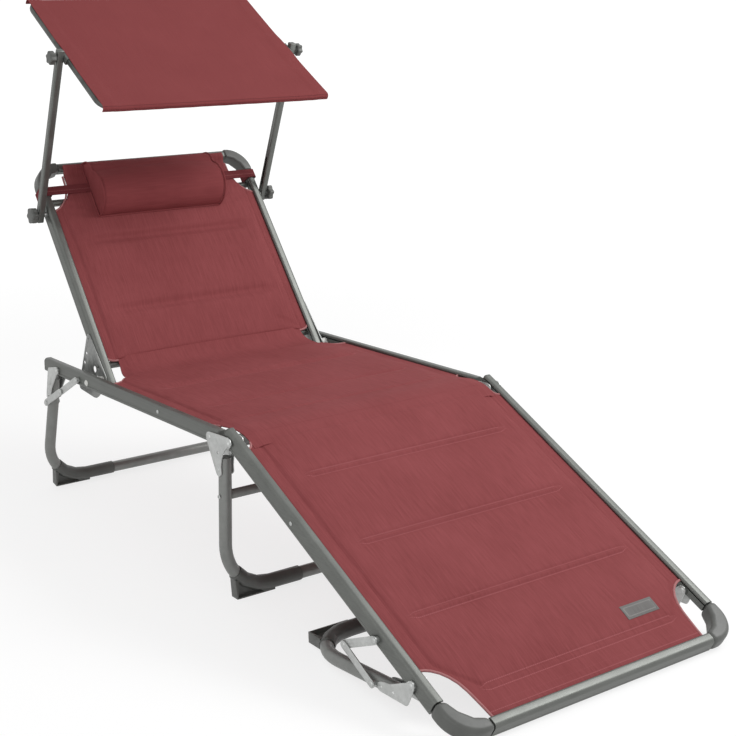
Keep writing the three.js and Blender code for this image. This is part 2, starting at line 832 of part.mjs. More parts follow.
for (const [label, side] of sides) {
  place(backFrame, `recline_plate_${label}`, join([
    plate(side, fanInner, fanLobes, fanSpots),
    turned([
      ...dome(backInner - gap, -1, rivetHead, rivetHeadHeight), [backInner - gap, rivetRadius],
      [fanSeat, rivetRadius], ...dome(fanSeat, 1, rivetHead, rivetHeadHeight + plateThickness / 2),
    ], side, fanRivetX, 0, rivetFacets),
  ]), galvanised);
}

// Back panel, notched at the recline pivot and at the head corners
const backHalf = backInner - padSide;
const backPadFoot = -backPadStart;
const backPadTop = backTop + railHalf + backPadHead;
const headNotchFoot = backPadTop + headNotchLength;
const backProfile = [
  point(backPadFoot, backHalf - pivotNotchDepth),
  point(backPadFoot - pivotNotchLength / 2, backHalf - pivotNotchDepth / 4),
  point(backPadFoot - pivotNotchLength, backHalf),
  point(headNotchFoot, backHalf),
  point(headNotchFoot - headNotchLength / 5, backHalf - 2 * headNotchDepth / 3),
  point(headNotchFoot - headNotchLength / 2, backHalf - headNotchDepth),
  point(backPadTop, backHalf - headNotchDepth),
];
const backOutline = [...backProfile, ...backProfile.map(({ x, y }) => point(x, -y)).reverse()];
place(backFrame, 'back_pad', slab(backOutline, padBottom, padTop, padRound), sling);

// Half-round pillow on the back panel, strapped to the back rails
const pillowBase = padTop + pillowClear;
const pillowShape = new THREE.Shape();
pillowShape.moveTo(-pillowFrom, pillowBase);
pillowShape.lineTo(-pillowTo, pillowBase);
pillowShape.quadraticCurveTo(-pillowTo, pillowBase + pillowShoulder, pillowShoulder - pillowTo,
  pillowBase + pillowShoulder);
pillowShape.bezierCurveTo(-(pillowFrom + pillowTo) / 2, pillowBase + pillowCrown, -pillowFrom,
  pillowBase + pillowHeight, -pillowFrom, pillowBase);
function pillowStrap(side) {
  const beside = railHalf + strapLoose;
  const below = -railBelow - strapLoose;
  const above = railAbove + strapLoose;
  const inside = [
    point(-beside, below), point(beside, below), point(beside, above), point(-beside, above),
  ];
  const loopShape = new THREE.Shape(inside.map(({ x, y }) => (
    point(x + Math.sign(x) * strapThickness, y + Math.sign(y) * strapThickness))));
  loopShape.holes.push(new THREE.Path(inside));
  const from = -strapAt - strapWidth / 2;
  const loop = alongX(loopShape, from, from + strapWidth).translate(0, side * backY, 0);
  const near = pillowLength / 2 + side * pillowShift - strapWidth;
  const far = backInner - strapLoose;
  const band = new THREE.BoxGeometry(strapWidth, far - near, strapThickness)
    .translate(-strapAt, side * (near + far) / 2, above + strapThickness / 2);
  return join([loop, band]);
}
place(backFrame, 'pillow', join([
  acrossY(pillowShape, -pillowLength / 2, pillowLength / 2).translate(0, pillowShift, 0),
  pillowStrap(1), pillowStrap(-1),
]), sling);

// End legs: brackets that straddle the rail, a bent tube and a two-link stay.
// Their frame has x towards the tip of the folded leg; the leg hangs along minus z of its own.
const legLean = (legOpenAngle - quarterTurn - seatTilt) * degree;
const rearHipHeight = midHeight - rearLegBehind * Math.sin(seatTilt * degree);
const legLength = (rearHipHeight + (legOffset - bootWidth / 2) * Math.sin(legLean)) / Math.cos(legLean);
const bracketLobes = [
  [0, 0, bracketLobe],
  [-bracketHeelBehind, -bracketHeelDrop, bracketHeel],
  [-legOffset, -bracketTipDrop, bracketTip],
];
function bracketPlate(side, near) {
  return plate(side, near, bracketLobes, [], [
    flankDisc(side, near, near + plateThickness, bracketTip - legOffset, -bracketTipDrop,
      bracketLobe, 0, bracketWaist)]);
}
function bracket(side) {
  return join([
    bracketPlate(side, plateOuter), bracketPlate(side, plateInner - plateThickness),
    hingePin(side, 0, 0), plateRivet(side, -legOffset, -bracketFirstRivet),
    plateRivet(side, -legOffset, -bracketLastRivet),
  ]);
}

function onLeg(turn, x, z) {
  return point(x * Math.cos(turn) + z * Math.sin(turn), z * Math.cos(turn) - x * Math.sin(turn));
}
const railAnchor = point(stayAhead, -stayDrop);
const openAnchor = onLeg((legOpenAngle - quarterTurn) * degree, -legOffset, -stayOnLeg);
const stayLink = railAnchor.distanceTo(openAnchor) / 2;

function stayStrip(side, near, holes) {
  return cut(acrossSide(strip(0, 0, stayLink, 0, stayWidth), side, near, near + stayThickness),
    holes.map((x) => (
      sideRod(stayPin + gap, side, near - overrun, near + stayThickness + overrun, x, 0))));
}

function kneeRivet(side) {
  const seat = outerStay + stayThickness / 2;
  return turned([
    [outerStay - gap / 2, 0], [outerStay - gap / 2, stayPin], [seat, stayPin],
    ...dome(seat, 1, stayPinHead, rivetHeadHeight + stayThickness / 2),
  ], side, stayLink, 0);
}

// Facing is 1 where the leg's frame looks towards the foot, and -1 where it is turned round.
function endLeg(name, hip, folded, facing) {
  const turn = (legOpenAngle - quarterTurn - folded) * degree;
  const leg = section(hip, 0, 0, turn / degree);
  const legAnchor = onLeg(turn, -legOffset, -stayOnLeg);
  const reach = legAnchor.clone().sub(railAnchor);
  const bow = Math.sqrt(Math.max(0, stayLink * stayLink - reach.lengthSq() / 4)) / reach.length();
  const knee = railAnchor.clone().add(legAnchor).divideScalar(2).add(point(-reach.y * bow, reach.x * bow));
  const upperTurn = -knee.clone().sub(railAnchor).angle();
  const lowerTurn = -knee.clone().sub(legAnchor).angle() - turn;
  const upper = section(hip, railAnchor.x, railAnchor.y, upperTurn / degree);
  const lower = section(leg, -legOffset, -stayOnLeg, lowerTurn / degree);

  const tube = legTube(-legOffset, tubeTop, legLength, [
    [rivetRadius, -bracketFirstRivet], [rivetRadius, -bracketLastRivet]]);
  place(leg, `${name}_leg_tube`, join([tube, ...sides.map(([, side]) => (
    linkPin(side, railY - tubeRadius, railY + tubeRadius, outerStay, -legOffset, -stayOnLeg)))]),
  aluminium);
  for (const [label, labelSide] of sides) {
    const side = labelSide * facing;
    place(leg, `${name}_leg_boot_${label}`, boot(side, -legOffset, legLength), darkPlastic);
    place(leg, `${name}_leg_bracket_${label}`, bracket(side), galvanised);
    place(upper, `${name}_stay_upper_${label}`, stayStrip(side, innerStay, [0, stayLink]), galvanised);
    place(lower, `${name}_stay_lower_${label}`,
      join([stayStrip(side, outerStay, [0]), kneeRivet(side)]), galvanised);
  }
}

endLeg('rear', section(seatFrame, rearLegX, 0, 0), 0, 1);

// Foot section: hung from the front pivot, its elbows resting on the floor
const footHinge = midHeight + hingeRise;
const footCorner = point(footLength + railHalf + elbowProud - elbowRound, railBelow + elbowProud);
const footSlope = Math.asin(footHinge / footCorner.length()) - footCorner.angle();
const footFrame = section(midLeg, hingePitch, hingeRise, footSlope / degree);
const footStayX = footLegAt - stayAhead;
const footRailRear = plugFlange + gap - hingeOverhang;

for (const [label, side] of sides) {
  place(footFrame, `foot_rail_${label}`, join([
    sideRail(side, railY, footRailRear, footLength - elbowFootLeg - gap, [
      [pivotBore, 0, 0], [pivotBore, footLegAt, 0]]),
    railPlug(side, railY, footRailRear, -1),
    linkPin(side, railInner, railOuter, innerStay, footStayX, -stayDrop),
  ]), aluminium);
  place(footFrame, `foot_elbow_${label}`, elbow(side, 1, elbowFootLeg, footLength, railY), darkPlastic);
}
const footEndHalf = railY - elbowFootLeg - gap;
place(footFrame, 'foot_end_rail', acrossEnd(railShape(1), 1, -footEndHalf, footEndHalf, footLength),
  aluminium);

// Foot panel, rounded off at the hinge and notched at the corners
const footPadFar = footLength - railHalf - footPadEnd;
const footNotchHead = footPadFar - footNotchLength;
const footProfile = [
  ...arc(footPadStart, seatHalf, jointNotch, 270, 360, 4),
  point(footNotchHead, seatHalf),
  point(footNotchHead + footNotchLength / 4, seatHalf - footNotchDepth / 5),
  point(footPadFar - footNotchLength / 4, seatHalf - 2 * footNotchDepth / 3),
  point(footPadFar, seatHalf - footNotchDepth),
];
const footOutline = [...footProfile, ...footProfile.map(({ x, y }) => point(x, -y)).reverse()];
place(footFrame, 'foot_pad', slab(footOutline, padBottom, padTop, padRound), sling);

// Foot leg: almost folded, lying on the floor under the foot section
const footHipHeight = footHinge - footLegAt * Math.sin(footSlope);
const barReach = point(legLength - barDrop, legOffset);
const legSlope = Math.asin((footHipHeight - bootRadius) / barReach.length()) - barReach.angle();
const footHip = section(footFrame, footLegAt, 0, 0);
footHip.rotation.z = Math.PI;
endLeg('foot', footHip, legOpenAngle - (legSlope + footSlope) / degree, -1);

// Sunshade arms: slotted square tubes that turn on studs in the back rails
const armFrame = section(backFrame, armX, 0, 90 - armAngle - reclineAngle);
const armTop = armLength + armTail;
function squareOutline(side, size, round) {
  const reach = size / 2 - round;
  return lobeOutline([
    [-reach, side * armMiddle - reach, round], [reach, side * armMiddle - reach, round],
    [reach, side * armMiddle + reach, round], [-reach, side * armMiddle + reach, round],
  ], pinFacets);
}

// Closed end of an arm, where its plastic plug sits.
function armPlug(side, end, outward) {
  return softened(squareOutline(side, armSide, armRound), plugFlange + plugRound, plugRound, 1)
    .translate(0, 0, outward > 0 ? end - plugRound : end - plugFlange);
}

function upperStud(side, z) {
  return turned([
    ...dome(jointInner - gap, -1, studHead, studHeadHeight), [jointInner - gap, studRadius],
    [studEnd, studRadius], [studEnd, 0],
  ], side, 0, z);
}

const armBore = armSide - 2 * armWall;
for (const [label, side] of sides) {
  const shape = new THREE.Shape(squareOutline(side, armSide, armRound));
  shape.holes.push(new THREE.Path(squareOutline(side, armBore, armRound / 2)));
  const slot = strip(0, armSlotStart, 0, armSlotStart + armSlotLength, armSlotWidth);
  const tube = extrude(shape, armTop + armTail).translate(0, 0, -armTail);
  place(armFrame, `canopy_arm_${label}`, join([
    cut(tube, [
      acrossSide(slot, side, armInner - overrun, armMiddle),
      sideRod(studRadius + gap, side, armInner - overrun, armOuter + overrun, 0, 0),
    ]),
    armPlug(side, -armTail, -1), armPlug(side, armTop, 1), upperStud(side, armLength),
  ]), aluminium);
}

function knob(side, radius) {
  const outline = [];
  for (let i = 0; i < knobFacets; i += 1) {
    const angle = 2 * Math.PI * i / knobFacets;
    const dip = knobDipShare * (1 - Math.cos(knobLobes * angle)) / 2;
    outline.push(point(radius * (1 - dip) * Math.cos(angle), radius * (1 - dip) * Math.sin(angle)));
  }
  const head = softened(outline, knobHeight, knobRound, 1).rotateX(-side * Math.PI / 2)
    .translate(0, side * (knobBase + knobBossHeight), 0);
  const boss = sideRod(knobBoss, side, knobBase, knobBase + knobBossHeight + knobRound, 0, 0);
  const bore = sideRod(studRadius + gap, side, knobBase - overrun, knobBase + knobBore, 0, 0);
  return cut(join([head, boss]), [bore]);
}
for (const [label, side] of sides) {
  place(section(backFrame, armX, 0, 0), `lower_knob_${label}`, knob(side, lowerKnob), darkPlastic);
  place(section(armFrame, 0, armLength, 0), `upper_knob_${label}`, knob(side, upperKnob), darkPlastic);
}

// Canopy: two bows that meet in joint blocks on the arms, and the cloth between their ends
const shadeFrame = section(armFrame, 0, armLength, shadeAngle + armAngle - 90);
function bowStations(end) {
  const along = Math.sign(end);
  const half = [new THREE.Vector3(along * (shadeJointLength / 2 - shadeSocket + gap), shadeHalf, 0)];
  for (let i = 0; i <= shadeBendSteps; i += 1) {
    const angle = Math.PI / 2 * i / shadeBendSteps;
    half.push(new THREE.Vector3(end - along * shadeBend * (1 - Math.sin(angle)),
      shadeHalf - shadeBend * (1 - Math.cos(angle)), 0));
  }
  return [...half, ...half.map(({ x, y }) => new THREE.Vector3(x, -y, 0)).reverse()];
}
for (const [label, end] of [['rear', -shadeRear], ['front', shadeFront]]) {
  place(shadeFrame, `canopy_${label}_bow`,
    sweep(bowStations(end), shadeBar, shadeBar - shadeBarWall, pinFacets), aluminium);
}

function shadeJoint(side) {
  const block = softened([
    point(-shadeJointLength / 2, -shadeJointHalf), point(shadeJointLength / 2, -shadeJointHalf),
    point(shadeJointLength / 2, shadeJointHalf), point(-shadeJointLength / 2, shadeJointHalf),
  ], 2 * shadeJointHalf, jointRound, 2).translate(0, side * shadeHalf, -shadeJointHalf);
  const sockets = [1, -1].map((along) => {
    const mouth = along * (shadeJointLength / 2 + overrun);
    const floor = along * (shadeJointLength / 2 - shadeSocket);
    return new THREE.CylinderGeometry(shadeBar + gap, shadeBar + gap, Math.abs(mouth - floor), fineFacets)
      .rotateZ(Math.PI / 2).translate((mouth + floor) / 2, side * shadeHalf, 0);
  });
  const eye = sideRod(studRadius + gap, side, jointInner - overrun, armInner + overrun, 0, 0);
  return cut(block, [...sockets, eye]);
}
for (const [label, side] of sides) {
  place(shadeFrame, `canopy_joint_${label}`, shadeJoint(side), darkPlastic);
}

const sleeveInner = shadeBar + gap;
const cloth = new THREE.BoxGeometry(shadeRear + shadeFront, 2 * clothHalf, shadeCloth)
  .translate((shadeFront - shadeRear) / 2, 0, sleeveInner + shadeCloth / 2);
const sleeves = [-shadeRear, shadeFront].map((x) => {
  const shape = new THREE.Shape().absarc(x, 0, sleeveInner + shadeCloth, 0, 2 * Math.PI, false);
  shape.holes.push(new THREE.Path().absarc(x, 0, sleeveInner, 0, 2 * Math.PI, true));
  return acrossY(shape, -sleeveHalf, sleeveHalf);
});
place(shadeFrame, 'canopy_fabric', join([cloth, ...sleeves]), shadeFabric);

// Stand the lounger on z 0 with its middle at the origin
lounger.updateMatrixWorld(true);
const bounds = new THREE.Box3().setFromObject(lounger, true);
const middle = bounds.getCenter(new THREE.Vector3());
lounger.position.set(-middle.x, -middle.y, -bounds.min.z);

export default lounger;
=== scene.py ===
import json
import math

import bpy
from mathutils import Matrix, Vector

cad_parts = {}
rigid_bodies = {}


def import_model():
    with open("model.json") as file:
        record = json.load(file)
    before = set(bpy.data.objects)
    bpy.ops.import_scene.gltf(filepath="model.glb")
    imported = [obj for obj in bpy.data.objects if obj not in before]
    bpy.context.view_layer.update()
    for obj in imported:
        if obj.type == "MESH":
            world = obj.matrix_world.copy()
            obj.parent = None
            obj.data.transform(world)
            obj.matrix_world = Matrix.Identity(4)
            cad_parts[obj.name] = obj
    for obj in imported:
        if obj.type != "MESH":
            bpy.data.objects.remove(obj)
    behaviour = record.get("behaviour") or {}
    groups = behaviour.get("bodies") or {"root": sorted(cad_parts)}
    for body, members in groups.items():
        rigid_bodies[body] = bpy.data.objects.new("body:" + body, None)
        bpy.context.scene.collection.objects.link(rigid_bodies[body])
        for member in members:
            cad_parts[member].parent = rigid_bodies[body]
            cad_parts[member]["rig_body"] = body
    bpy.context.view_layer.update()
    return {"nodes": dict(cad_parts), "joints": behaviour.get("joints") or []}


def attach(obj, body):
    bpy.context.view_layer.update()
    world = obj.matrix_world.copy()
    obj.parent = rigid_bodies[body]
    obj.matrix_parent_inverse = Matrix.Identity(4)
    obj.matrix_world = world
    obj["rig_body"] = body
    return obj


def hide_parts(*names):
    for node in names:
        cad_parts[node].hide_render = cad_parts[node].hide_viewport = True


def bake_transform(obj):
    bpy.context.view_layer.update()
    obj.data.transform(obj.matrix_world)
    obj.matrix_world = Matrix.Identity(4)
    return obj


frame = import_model()

# Seat side rails. Aluminium extrusions with a crown on top, a keder groove inside and a round bead
# below, cut to length and closed with moulded plugs. The stay studs are riveted through them.
mm = 0.001
pivots = {joint["name"]: Vector(joint["pos_m"]) for joint in frame["joints"]}
sides = (("left", 1), ("right", -1))
rail_middle = 323.5 * mm
rail_half = 10 * mm
rail_above = 16.5 * mm
rail_below = 12.5 * mm
rail_face_drop = 5.5 * mm
base_round = 3 * mm
rail_bead = 3.5 * mm
outer_round = 8 * mm
inner_round = 4.5 * mm
keder_height = 9.5 * mm
plug_reach = 3 * mm
rail_inner = rail_middle - rail_half
rail_face = rail_middle + rail_half
seat_rail_rear = -696.7 * mm
seat_rail_front = 20.7 * mm


def tilted(pivot, degrees):
    return Matrix.Translation(pivot) @ Matrix.Rotation(math.radians(degrees), 4, "Y")


def arc(x, y, radius, start, end, steps):
    angles = [math.radians(start + (end - start) * i / steps) for i in range(steps + 1)]
    return [(x + radius * math.cos(a), y + radius * math.sin(a)) for a in angles]


def rail_section():
    """The profile across the rail, from its inner lower corner round to the keder groove above."""
    half, drop, top, bead = rail_half, rail_face_drop, rail_above, rail_bead
    points = arc(-half + base_round, -drop + base_round, base_round, 180, 270, 5)
    points += [(half - 2 * bead, -drop)]
    points += arc(half - bead, -rail_below + bead, bead, 180, 360, 10)
    points += [(half, -drop - mm), (half - mm, -drop), (half, -drop + mm)]
    points += arc(half - outer_round, top - outer_round, outer_round, 0, 90, 9)
    points += arc(-half + inner_round, top - inner_round, inner_round, 90, 180, 5)
    points += [(-half, keder_height + 1.5 * mm)]
    points += arc(-half + 4.4 * mm, keder_height, 3.2 * mm, 152, -152, 10)
    return points + [(-half, keder_height - 1.5 * mm)]


def chosen(piece):
    """Makes a piece the active one and the only one selected."""
    bpy.ops.object.select_all(action="DESELECT")
    piece.select_set(True)
    bpy.context.view_layer.objects.active = piece
    return piece


def settle(piece, place):
    """Applies a placement, which leaves the object itself at the origin."""
    chosen(piece).matrix_world = place
    bpy.ops.object.transform_apply(location=True, rotation=True, scale=True)
    return piece


def modified(piece, kind, **settings):
    """Adds a modifier to the active piece and applies it."""
    bpy.ops.object.modifier_add(type=kind)
    change = piece.modifiers[-1]
    for name, value in settings.items():
        setattr(change, name, value)
    bpy.ops.object.modifier_apply(modifier=change.name)


def softened(piece, width, segments=2, smooth=40, limit=50):
    """Rounds the edges sharper than the limit, if a width is given, and smooths the shading."""
    chosen(piece)
    if width:
        modified(piece, "BEVEL", width=width, segments=segments, limit_method="ANGLE",
                 angle_limit=math.radians(limit))
    bpy.ops.object.shade_smooth_by_angle(angle=math.radians(smooth))
    return piece


def fresh(name):
    """Names the object that the last call made."""
    piece = bpy.context.object
    piece.name = piece.data.name = name
    return piece


def outlined(name, points, fill="NGON"):
    """A ring through the points, left in edit mode with all of it selected."""
    bpy.ops.object.select_all(action="DESELECT")
    bpy.ops.mesh.primitive_circle_add(vertices=len(points), radius=1, fill_type=fill)
    piece = fresh(name)
    for vertex, spot in zip(piece.data.vertices, points):
        vertex.co = spot
    bpy.ops.object.mode_set(mode="EDIT")
    bpy.ops.mesh.select_all(action="SELECT")
    return piece


def push(*run):
    bpy.ops.mesh.extrude_region_move(TRANSFORM_OT_translate={"value": run})


def closed(piece, place):
    """Turns every normal outward, leaves edit mode and settles the piece."""
    bpy.ops.mesh.select_all(action="SELECT")
    bpy.ops.mesh.normals_make_consistent(inside=False)
    bpy.ops.object.mode_set(mode="OBJECT")
    return settle(piece, place)


def extruded(name, outline, run, place):
    piece = outlined(name, outline)
    push(*run)
    return closed(piece, place)


def turned(name, stations, place, facets=24):
    """A lathe-turned piece on a local Y axis: stations are (distance, radius)."""
    piece = outlined(name, [(radius, distance, 0) for distance, radius in stations], "NOTHING")
    bpy.ops.mesh.spin(steps=facets, angle=2 * math.pi, center=(0, 0, 0), axis=(0, 1, 0))
    bpy.ops.mesh.select_all(action="SELECT")
    bpy.ops.mesh.remove_doubles(threshold=1e-5)
    return softened(closed(piece, place), 0)


def facing(side):
    """Half a turn about Z for the pieces of the right side."""
    return Matrix.Rotation(0 if side > 0 else math.pi, 4, "Z")


def dress(piece, body, material, slot, *nodes):
    piece.data.materials.clear()
    piece.data.materials.append(material)
    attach(piece, body)
    if nodes:
        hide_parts(*nodes)
    return piece


def node(tree, kind, **inputs):
    made = tree.nodes.new(kind)
    for name, value in inputs.items():
        numbered = name[0] == "i" and name[1:].isdigit()
        socket = made.inputs[int(name[1:]) if numbered else name]
        if isinstance(value, bpy.types.NodeSocket):
            tree.links.new(value, socket)
        else:
            socket.default_value = value
    return made


def maths(tree, operation, *values):
    made = node(tree, "ShaderNodeMath", **{f"i{i}": value for i, value in enumerate(values)})
    made.operation = operation
    return made.outputs[0]


def noise(tree, vector, scale, detail):
    return node(tree, "ShaderNodeTexNoise", Vector=vector, Scale=scale, Detail=detail).outputs[0]


def stretched(tree, vector, factors):
    made = node(tree, "ShaderNodeVectorMath", i0=vector, i1=factors)
    made.operation = "MULTIPLY"
    return made.outputs[0]


def toned(tree, share, low, high):
    """A colour that goes from low to high with the share."""
    made = tree.nodes.new("ShaderNodeMix")
    made.data_type = "RGBA"
    for index, value in ((0, share), (6, low), (7, high)):
        tree.links.new(value, made.inputs[index])
    return made.outputs[2]


def effect(name, *takes):
    """A shared node group with the inputs it takes, giving a colour, a roughness and a normal."""
    group = bpy.data.node_groups.new(name, "ShaderNodeTree")
    gives = (("Colour", "Color"), ("Rough", "Float"), ("Normal", "Vector"))
    for way, sockets in (("INPUT", takes), ("OUTPUT", gives)):
        for title, kind, *default in sockets:
            socket = group.interface.new_socket(
                name=title, in_out=way, socket_type=f"NodeSocket{kind}")
            if default:
                socket.default_value = default[0]
    return group, group.nodes.new("NodeGroupInput").outputs


def give_back(group, *values):
    taken = group.nodes.new("NodeGroupOutput")
    for value, socket in zip(values, taken.inputs):
        group.links.new(value, socket)


def shaded(name, group, maps, fixed, **values):
    """A material whose shader takes its colour, roughness and normal from a shared effect."""
    material = bpy.data.materials.new(name)
    material.use_nodes = True
    tree = material.node_tree
    source = tree.nodes.new("ShaderNodeGroup")
    source.node_tree = group
    for title, uv_map in maps.items():
        where = tree.nodes.new("ShaderNodeUVMap" if uv_map else "ShaderNodeTexCoord")
        if uv_map:
            where.uv_map = uv_map
        tree.links.new(where.outputs["UV" if uv_map else "Object"], source.inputs[title])
    for title, value in values.items():
        source.inputs[title].default_value = value
    shader = tree.nodes["Principled BSDF"]
    for title, socket in (("Colour", "Base Color"), ("Rough", "Roughness"), ("Normal", "Normal")):
        tree.links.new(source.outputs[title], shader.inputs[socket])
    for title, value in fixed.items():
        shader.inputs[title].default_value = value
    return material


# Drawn metal finish: faint lines along the profile and cloudy tarnish. The stretch sets how long the
# lines are on a piece, and the clouds make the metal a little rougher where it is bright.
drawn, given = effect(
    "drawn_metal", ("Vector", "Vector"), ("Stretch", "Vector", (3, 900, 900)),
    ("Deep", "Color", (0.2, 0.2, 0.2, 1)), ("Bright", "Color", (0.5, 0.5, 0.5, 1)),
    ("Roughness", "Float", 0.4))
lines = noise(drawn, stretched(drawn, given["Vector"], given["Stretch"]), 1, 3)
clouds = noise(drawn, given["Vector"], 24, 3)
spread = node(drawn, "ShaderNodeMapRange", Value=maths(drawn, "ADD", lines, clouds), i1=0.6, i2=1.4)
rough = maths(drawn, "ADD", maths(drawn, "MULTIPLY_ADD", clouds, 0.28, -0.14), given["Roughness"])
ridge = node(drawn, "ShaderNodeBump", Strength=0.06, Distance=0.0004, Height=lines)
colour = toned(drawn, spread.outputs[0], given["Deep"], given["Bright"])
give_back(drawn, colour, rough, ridge.outputs[0])


def metal(name, deep, bright, roughness, metallic, stretch):
    return shaded(name, drawn, {"Vector": None}, {"Metallic": metallic}, Stretch=stretch,
                  Deep=(*deep, 1), Bright=(*bright, 1), Roughness=roughness)


rail_metal = metal(
    "anodised_rail", (0.105, 0.11, 0.102), (0.16, 0.166, 0.155), 0.42, 0.6, (4, 900, 900))

# Moulded plastic finish: a fine eroded grain and faint patches of dust.
# The grain is fine enough to show only close by.
grain, given = effect(
    "moulded_grain", ("Vector", "Vector"), ("Deep", "Color", (0.02, 0.02, 0.02, 1)),
    ("Bright", "Color", (0.06, 0.06, 0.06, 1)), ("Roughness", "Float", 0.5))
pits = noise(grain, given["Vector"], 900, 2)
dust = noise(grain, given["Vector"], 45, 4)
rough = maths(grain, "MULTIPLY_ADD", pits, 0.2, given["Roughness"])
erode = node(grain, "ShaderNodeBump", Strength=0.15, Distance=0.0003, Height=pits)
give_back(grain, toned(grain, dust, given["Deep"], given["Bright"]), rough, erode.outputs[0])


def plastic(name, deep, bright, roughness):
    return shaded(name, grain, {"Vector": None}, {}, Deep=(*deep, 1), Bright=(*bright, 1),
                  Roughness=roughness)


dark_plastic = plastic("dark_moulding", (0.07, 0.073, 0.068), (0.11, 0.114, 0.106), 0.36)


def side_rail(name, body, side, middle, start, end, place, node_name):
    outline = [(start, side * (middle + y), z) for y, z in rail_section()]
    rail = softened(extruded(name, outline, (end - start, 0, 0), place), 0.25 * mm, 1, 35, 60)
    return dress(rail, body, rail_metal, "aluminium_frame", node_name)


def rail_plug(name, body, side, middle, x, outward, place):
    half = rail_half - 0.1 * mm
    outline = arc(-half + base_round, -rail_face_drop + base_round, base_round, 180, 270, 4)
    outline += arc(half - rail_bead, -rail_below + rail_bead, rail_bead, 180, 360, 8)
    outline += arc(half - outer_round, rail_above - outer_round, outer_round, 0, 90, 6)
    outline += arc(-half + inner_round, rail_above - inner_round, inner_round, 90, 180, 4)
    spots = [(x, side * (middle + y), z) for y, z in outline]
    plug = extruded(name, spots, (outward * plug_reach, 0, 0), place)
    return dress(softened(plug, 1.1 * mm, 3), body, dark_plastic, "dark_plastic")


seat = tilted(pivots["middle_fold"], -1.38)
for label, side in sides:
    side_rail(f"seat_extrusion_{label}", "seat", side, rail_middle, seat_rail_rear, seat_rail_front,
              seat, f"seat_rail_{label}")
    rail_plug(f"seat_head_plug_{label}", "seat", side, rail_middle, seat_rail_rear, -1, seat)
    rail_plug(f"seat_foot_plug_{label}", "seat", side, rail_middle, seat_rail_front, 1, seat)

# Plates, pins and stays are pressed from galvanised sheet, tumbled, then riveted.
# They keep the outline of their solids, with their sharp edges broken.
broken_edge = 0.4 * mm
stud_height = -1.2 * mm
seat_stud_at = -534 * mm
link_inner = 338.8 * mm
galvanised = metal(
    "galvanised_sheet", (0.4, 0.41, 0.4), (0.56, 0.57, 0.56), 0.4, 0.75, (120, 120, 120))
leg_metal = metal(
    "leg_tube_coat", (0.19, 0.196, 0.187), (0.25, 0.256, 0.246), 0.42, 0.45, (60, 60, 60))
# A darker copy of the galvanised sheet for the recline fans. Part of its darkness is painted shade for
# where the fans sit.
shaded_galvanised = metal("galvanised_darkened_for_shade", (0.2, 0.205, 0.2), (0.32, 0.325, 0.315), 0.42, 0.7, (120, 120, 120))
nylon = plastic("white_nylon", (0.6, 0.6, 0.57), (0.8, 0.8, 0.77), 0.35)


def finished(node_name, name, material, slot, width):
    """A merged copy of a CAD solid, with its edges broken and its round faces smoothed."""
    source = frame["nodes"][node_name]
    piece = bpy.data.objects.new(name, source.data.copy())
    bpy.context.scene.collection.objects.link(piece)
    chosen(piece)
    bpy.ops.object.mode_set(mode="EDIT")
    bpy.ops.mesh.select_all(action="SELECT")
    bpy.ops.mesh.remove_doubles(threshold=1e-5)
    bpy.ops.mesh.dissolve_limited(angle_limit=math.radians(1))
    bpy.ops.object.mode_set(mode="OBJECT")
    softened(piece, width, 2, 44)
    return dress(piece, source["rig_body"], material, slot, node_name)


def stay_stud(name, body, side, x, z, place, near, far, link):
    """A pin headed inside what carries it, with a spacer out to the link that turns on it."""
    shank, collar, head_edge, head_top = 2.5 * mm, 5.6 * mm, 5.2 * mm, 3.6 * mm
    link_start, link_end = link - 0.3 * mm, link + 2.3 * mm
    stations = [(near - 1.8 * mm, 0), (near - 1.8 * mm, head_top), (near - 0.9 * mm, head_edge),
                (near, collar), (near, shank), (far, shank), (far, collar), (link_start, collar),
                (link_start, shank), (link_end, shank), (link_end, collar),
                (link_end + 0.9 * mm, head_edge), (link_end + 1.8 * mm, head_top),
                (link_end + 1.8 * mm, 0)]
    spot = place @ Matrix.Translation((x, 0, z)) @ facing(side)
    return dress(turned(name, stations, spot), body, galvanised, "galvanised_steel")


for label, side in sides:
    stay_stud(f"seat_stay_stud_{label}", "seat", side, seat_stud_at, stud_height, seat, rail_inner,
              rail_face, link_inner)
    finished(f"recline_pin_{label}", f"recline_pivot_{label}", nylon, "white_nylon", broken_edge)
    finished(f"recline_detent_{label}", f"sprung_detent_{label}", galvanised, "galvanised_steel",
             broken_edge)
    finished(f"mid_hinge_{label}", f"middle_hinge_plates_{label}", galvanised, "galvanised_steel",
             broken_edge)
    finished(f"recline_plate_{label}", f"recline_fan_{label}", shaded_galvanised, "galvanised_steel",
             broken_edge)
    for leg in ("rear", "foot"):
        for node_name, name in (("leg_bracket", "clevis"), ("stay_upper", "upper_link"),
                                ("stay_lower", "lower_link")):
            finished(f"{leg}_{node_name}_{label}", f"{leg}_{name}_{label}", galvanised,
                     "galvanised_steel", broken_edge)

# Legs. Each is one round tube bent twice into a U, with a moulded boot pressed over each bend.
# The middle leg also has an oval crossbar screwed between its uprights.
tube_radius = 12.5 * mm
tube_bend = 100 * mm
bar_height = 15.2 * mm
leg_length = 318.05 * mm
mid_leg_length = 321.4 * mm
leg_at = -26.5 * mm
leg_top = -31 * mm
mid_leg_at = 32 * mm
mid_leg_top = -33 * mm
leg_stud_at = -93 * mm
leg_stud_inner = 311 * mm
leg_link_inner = 341.3 * mm


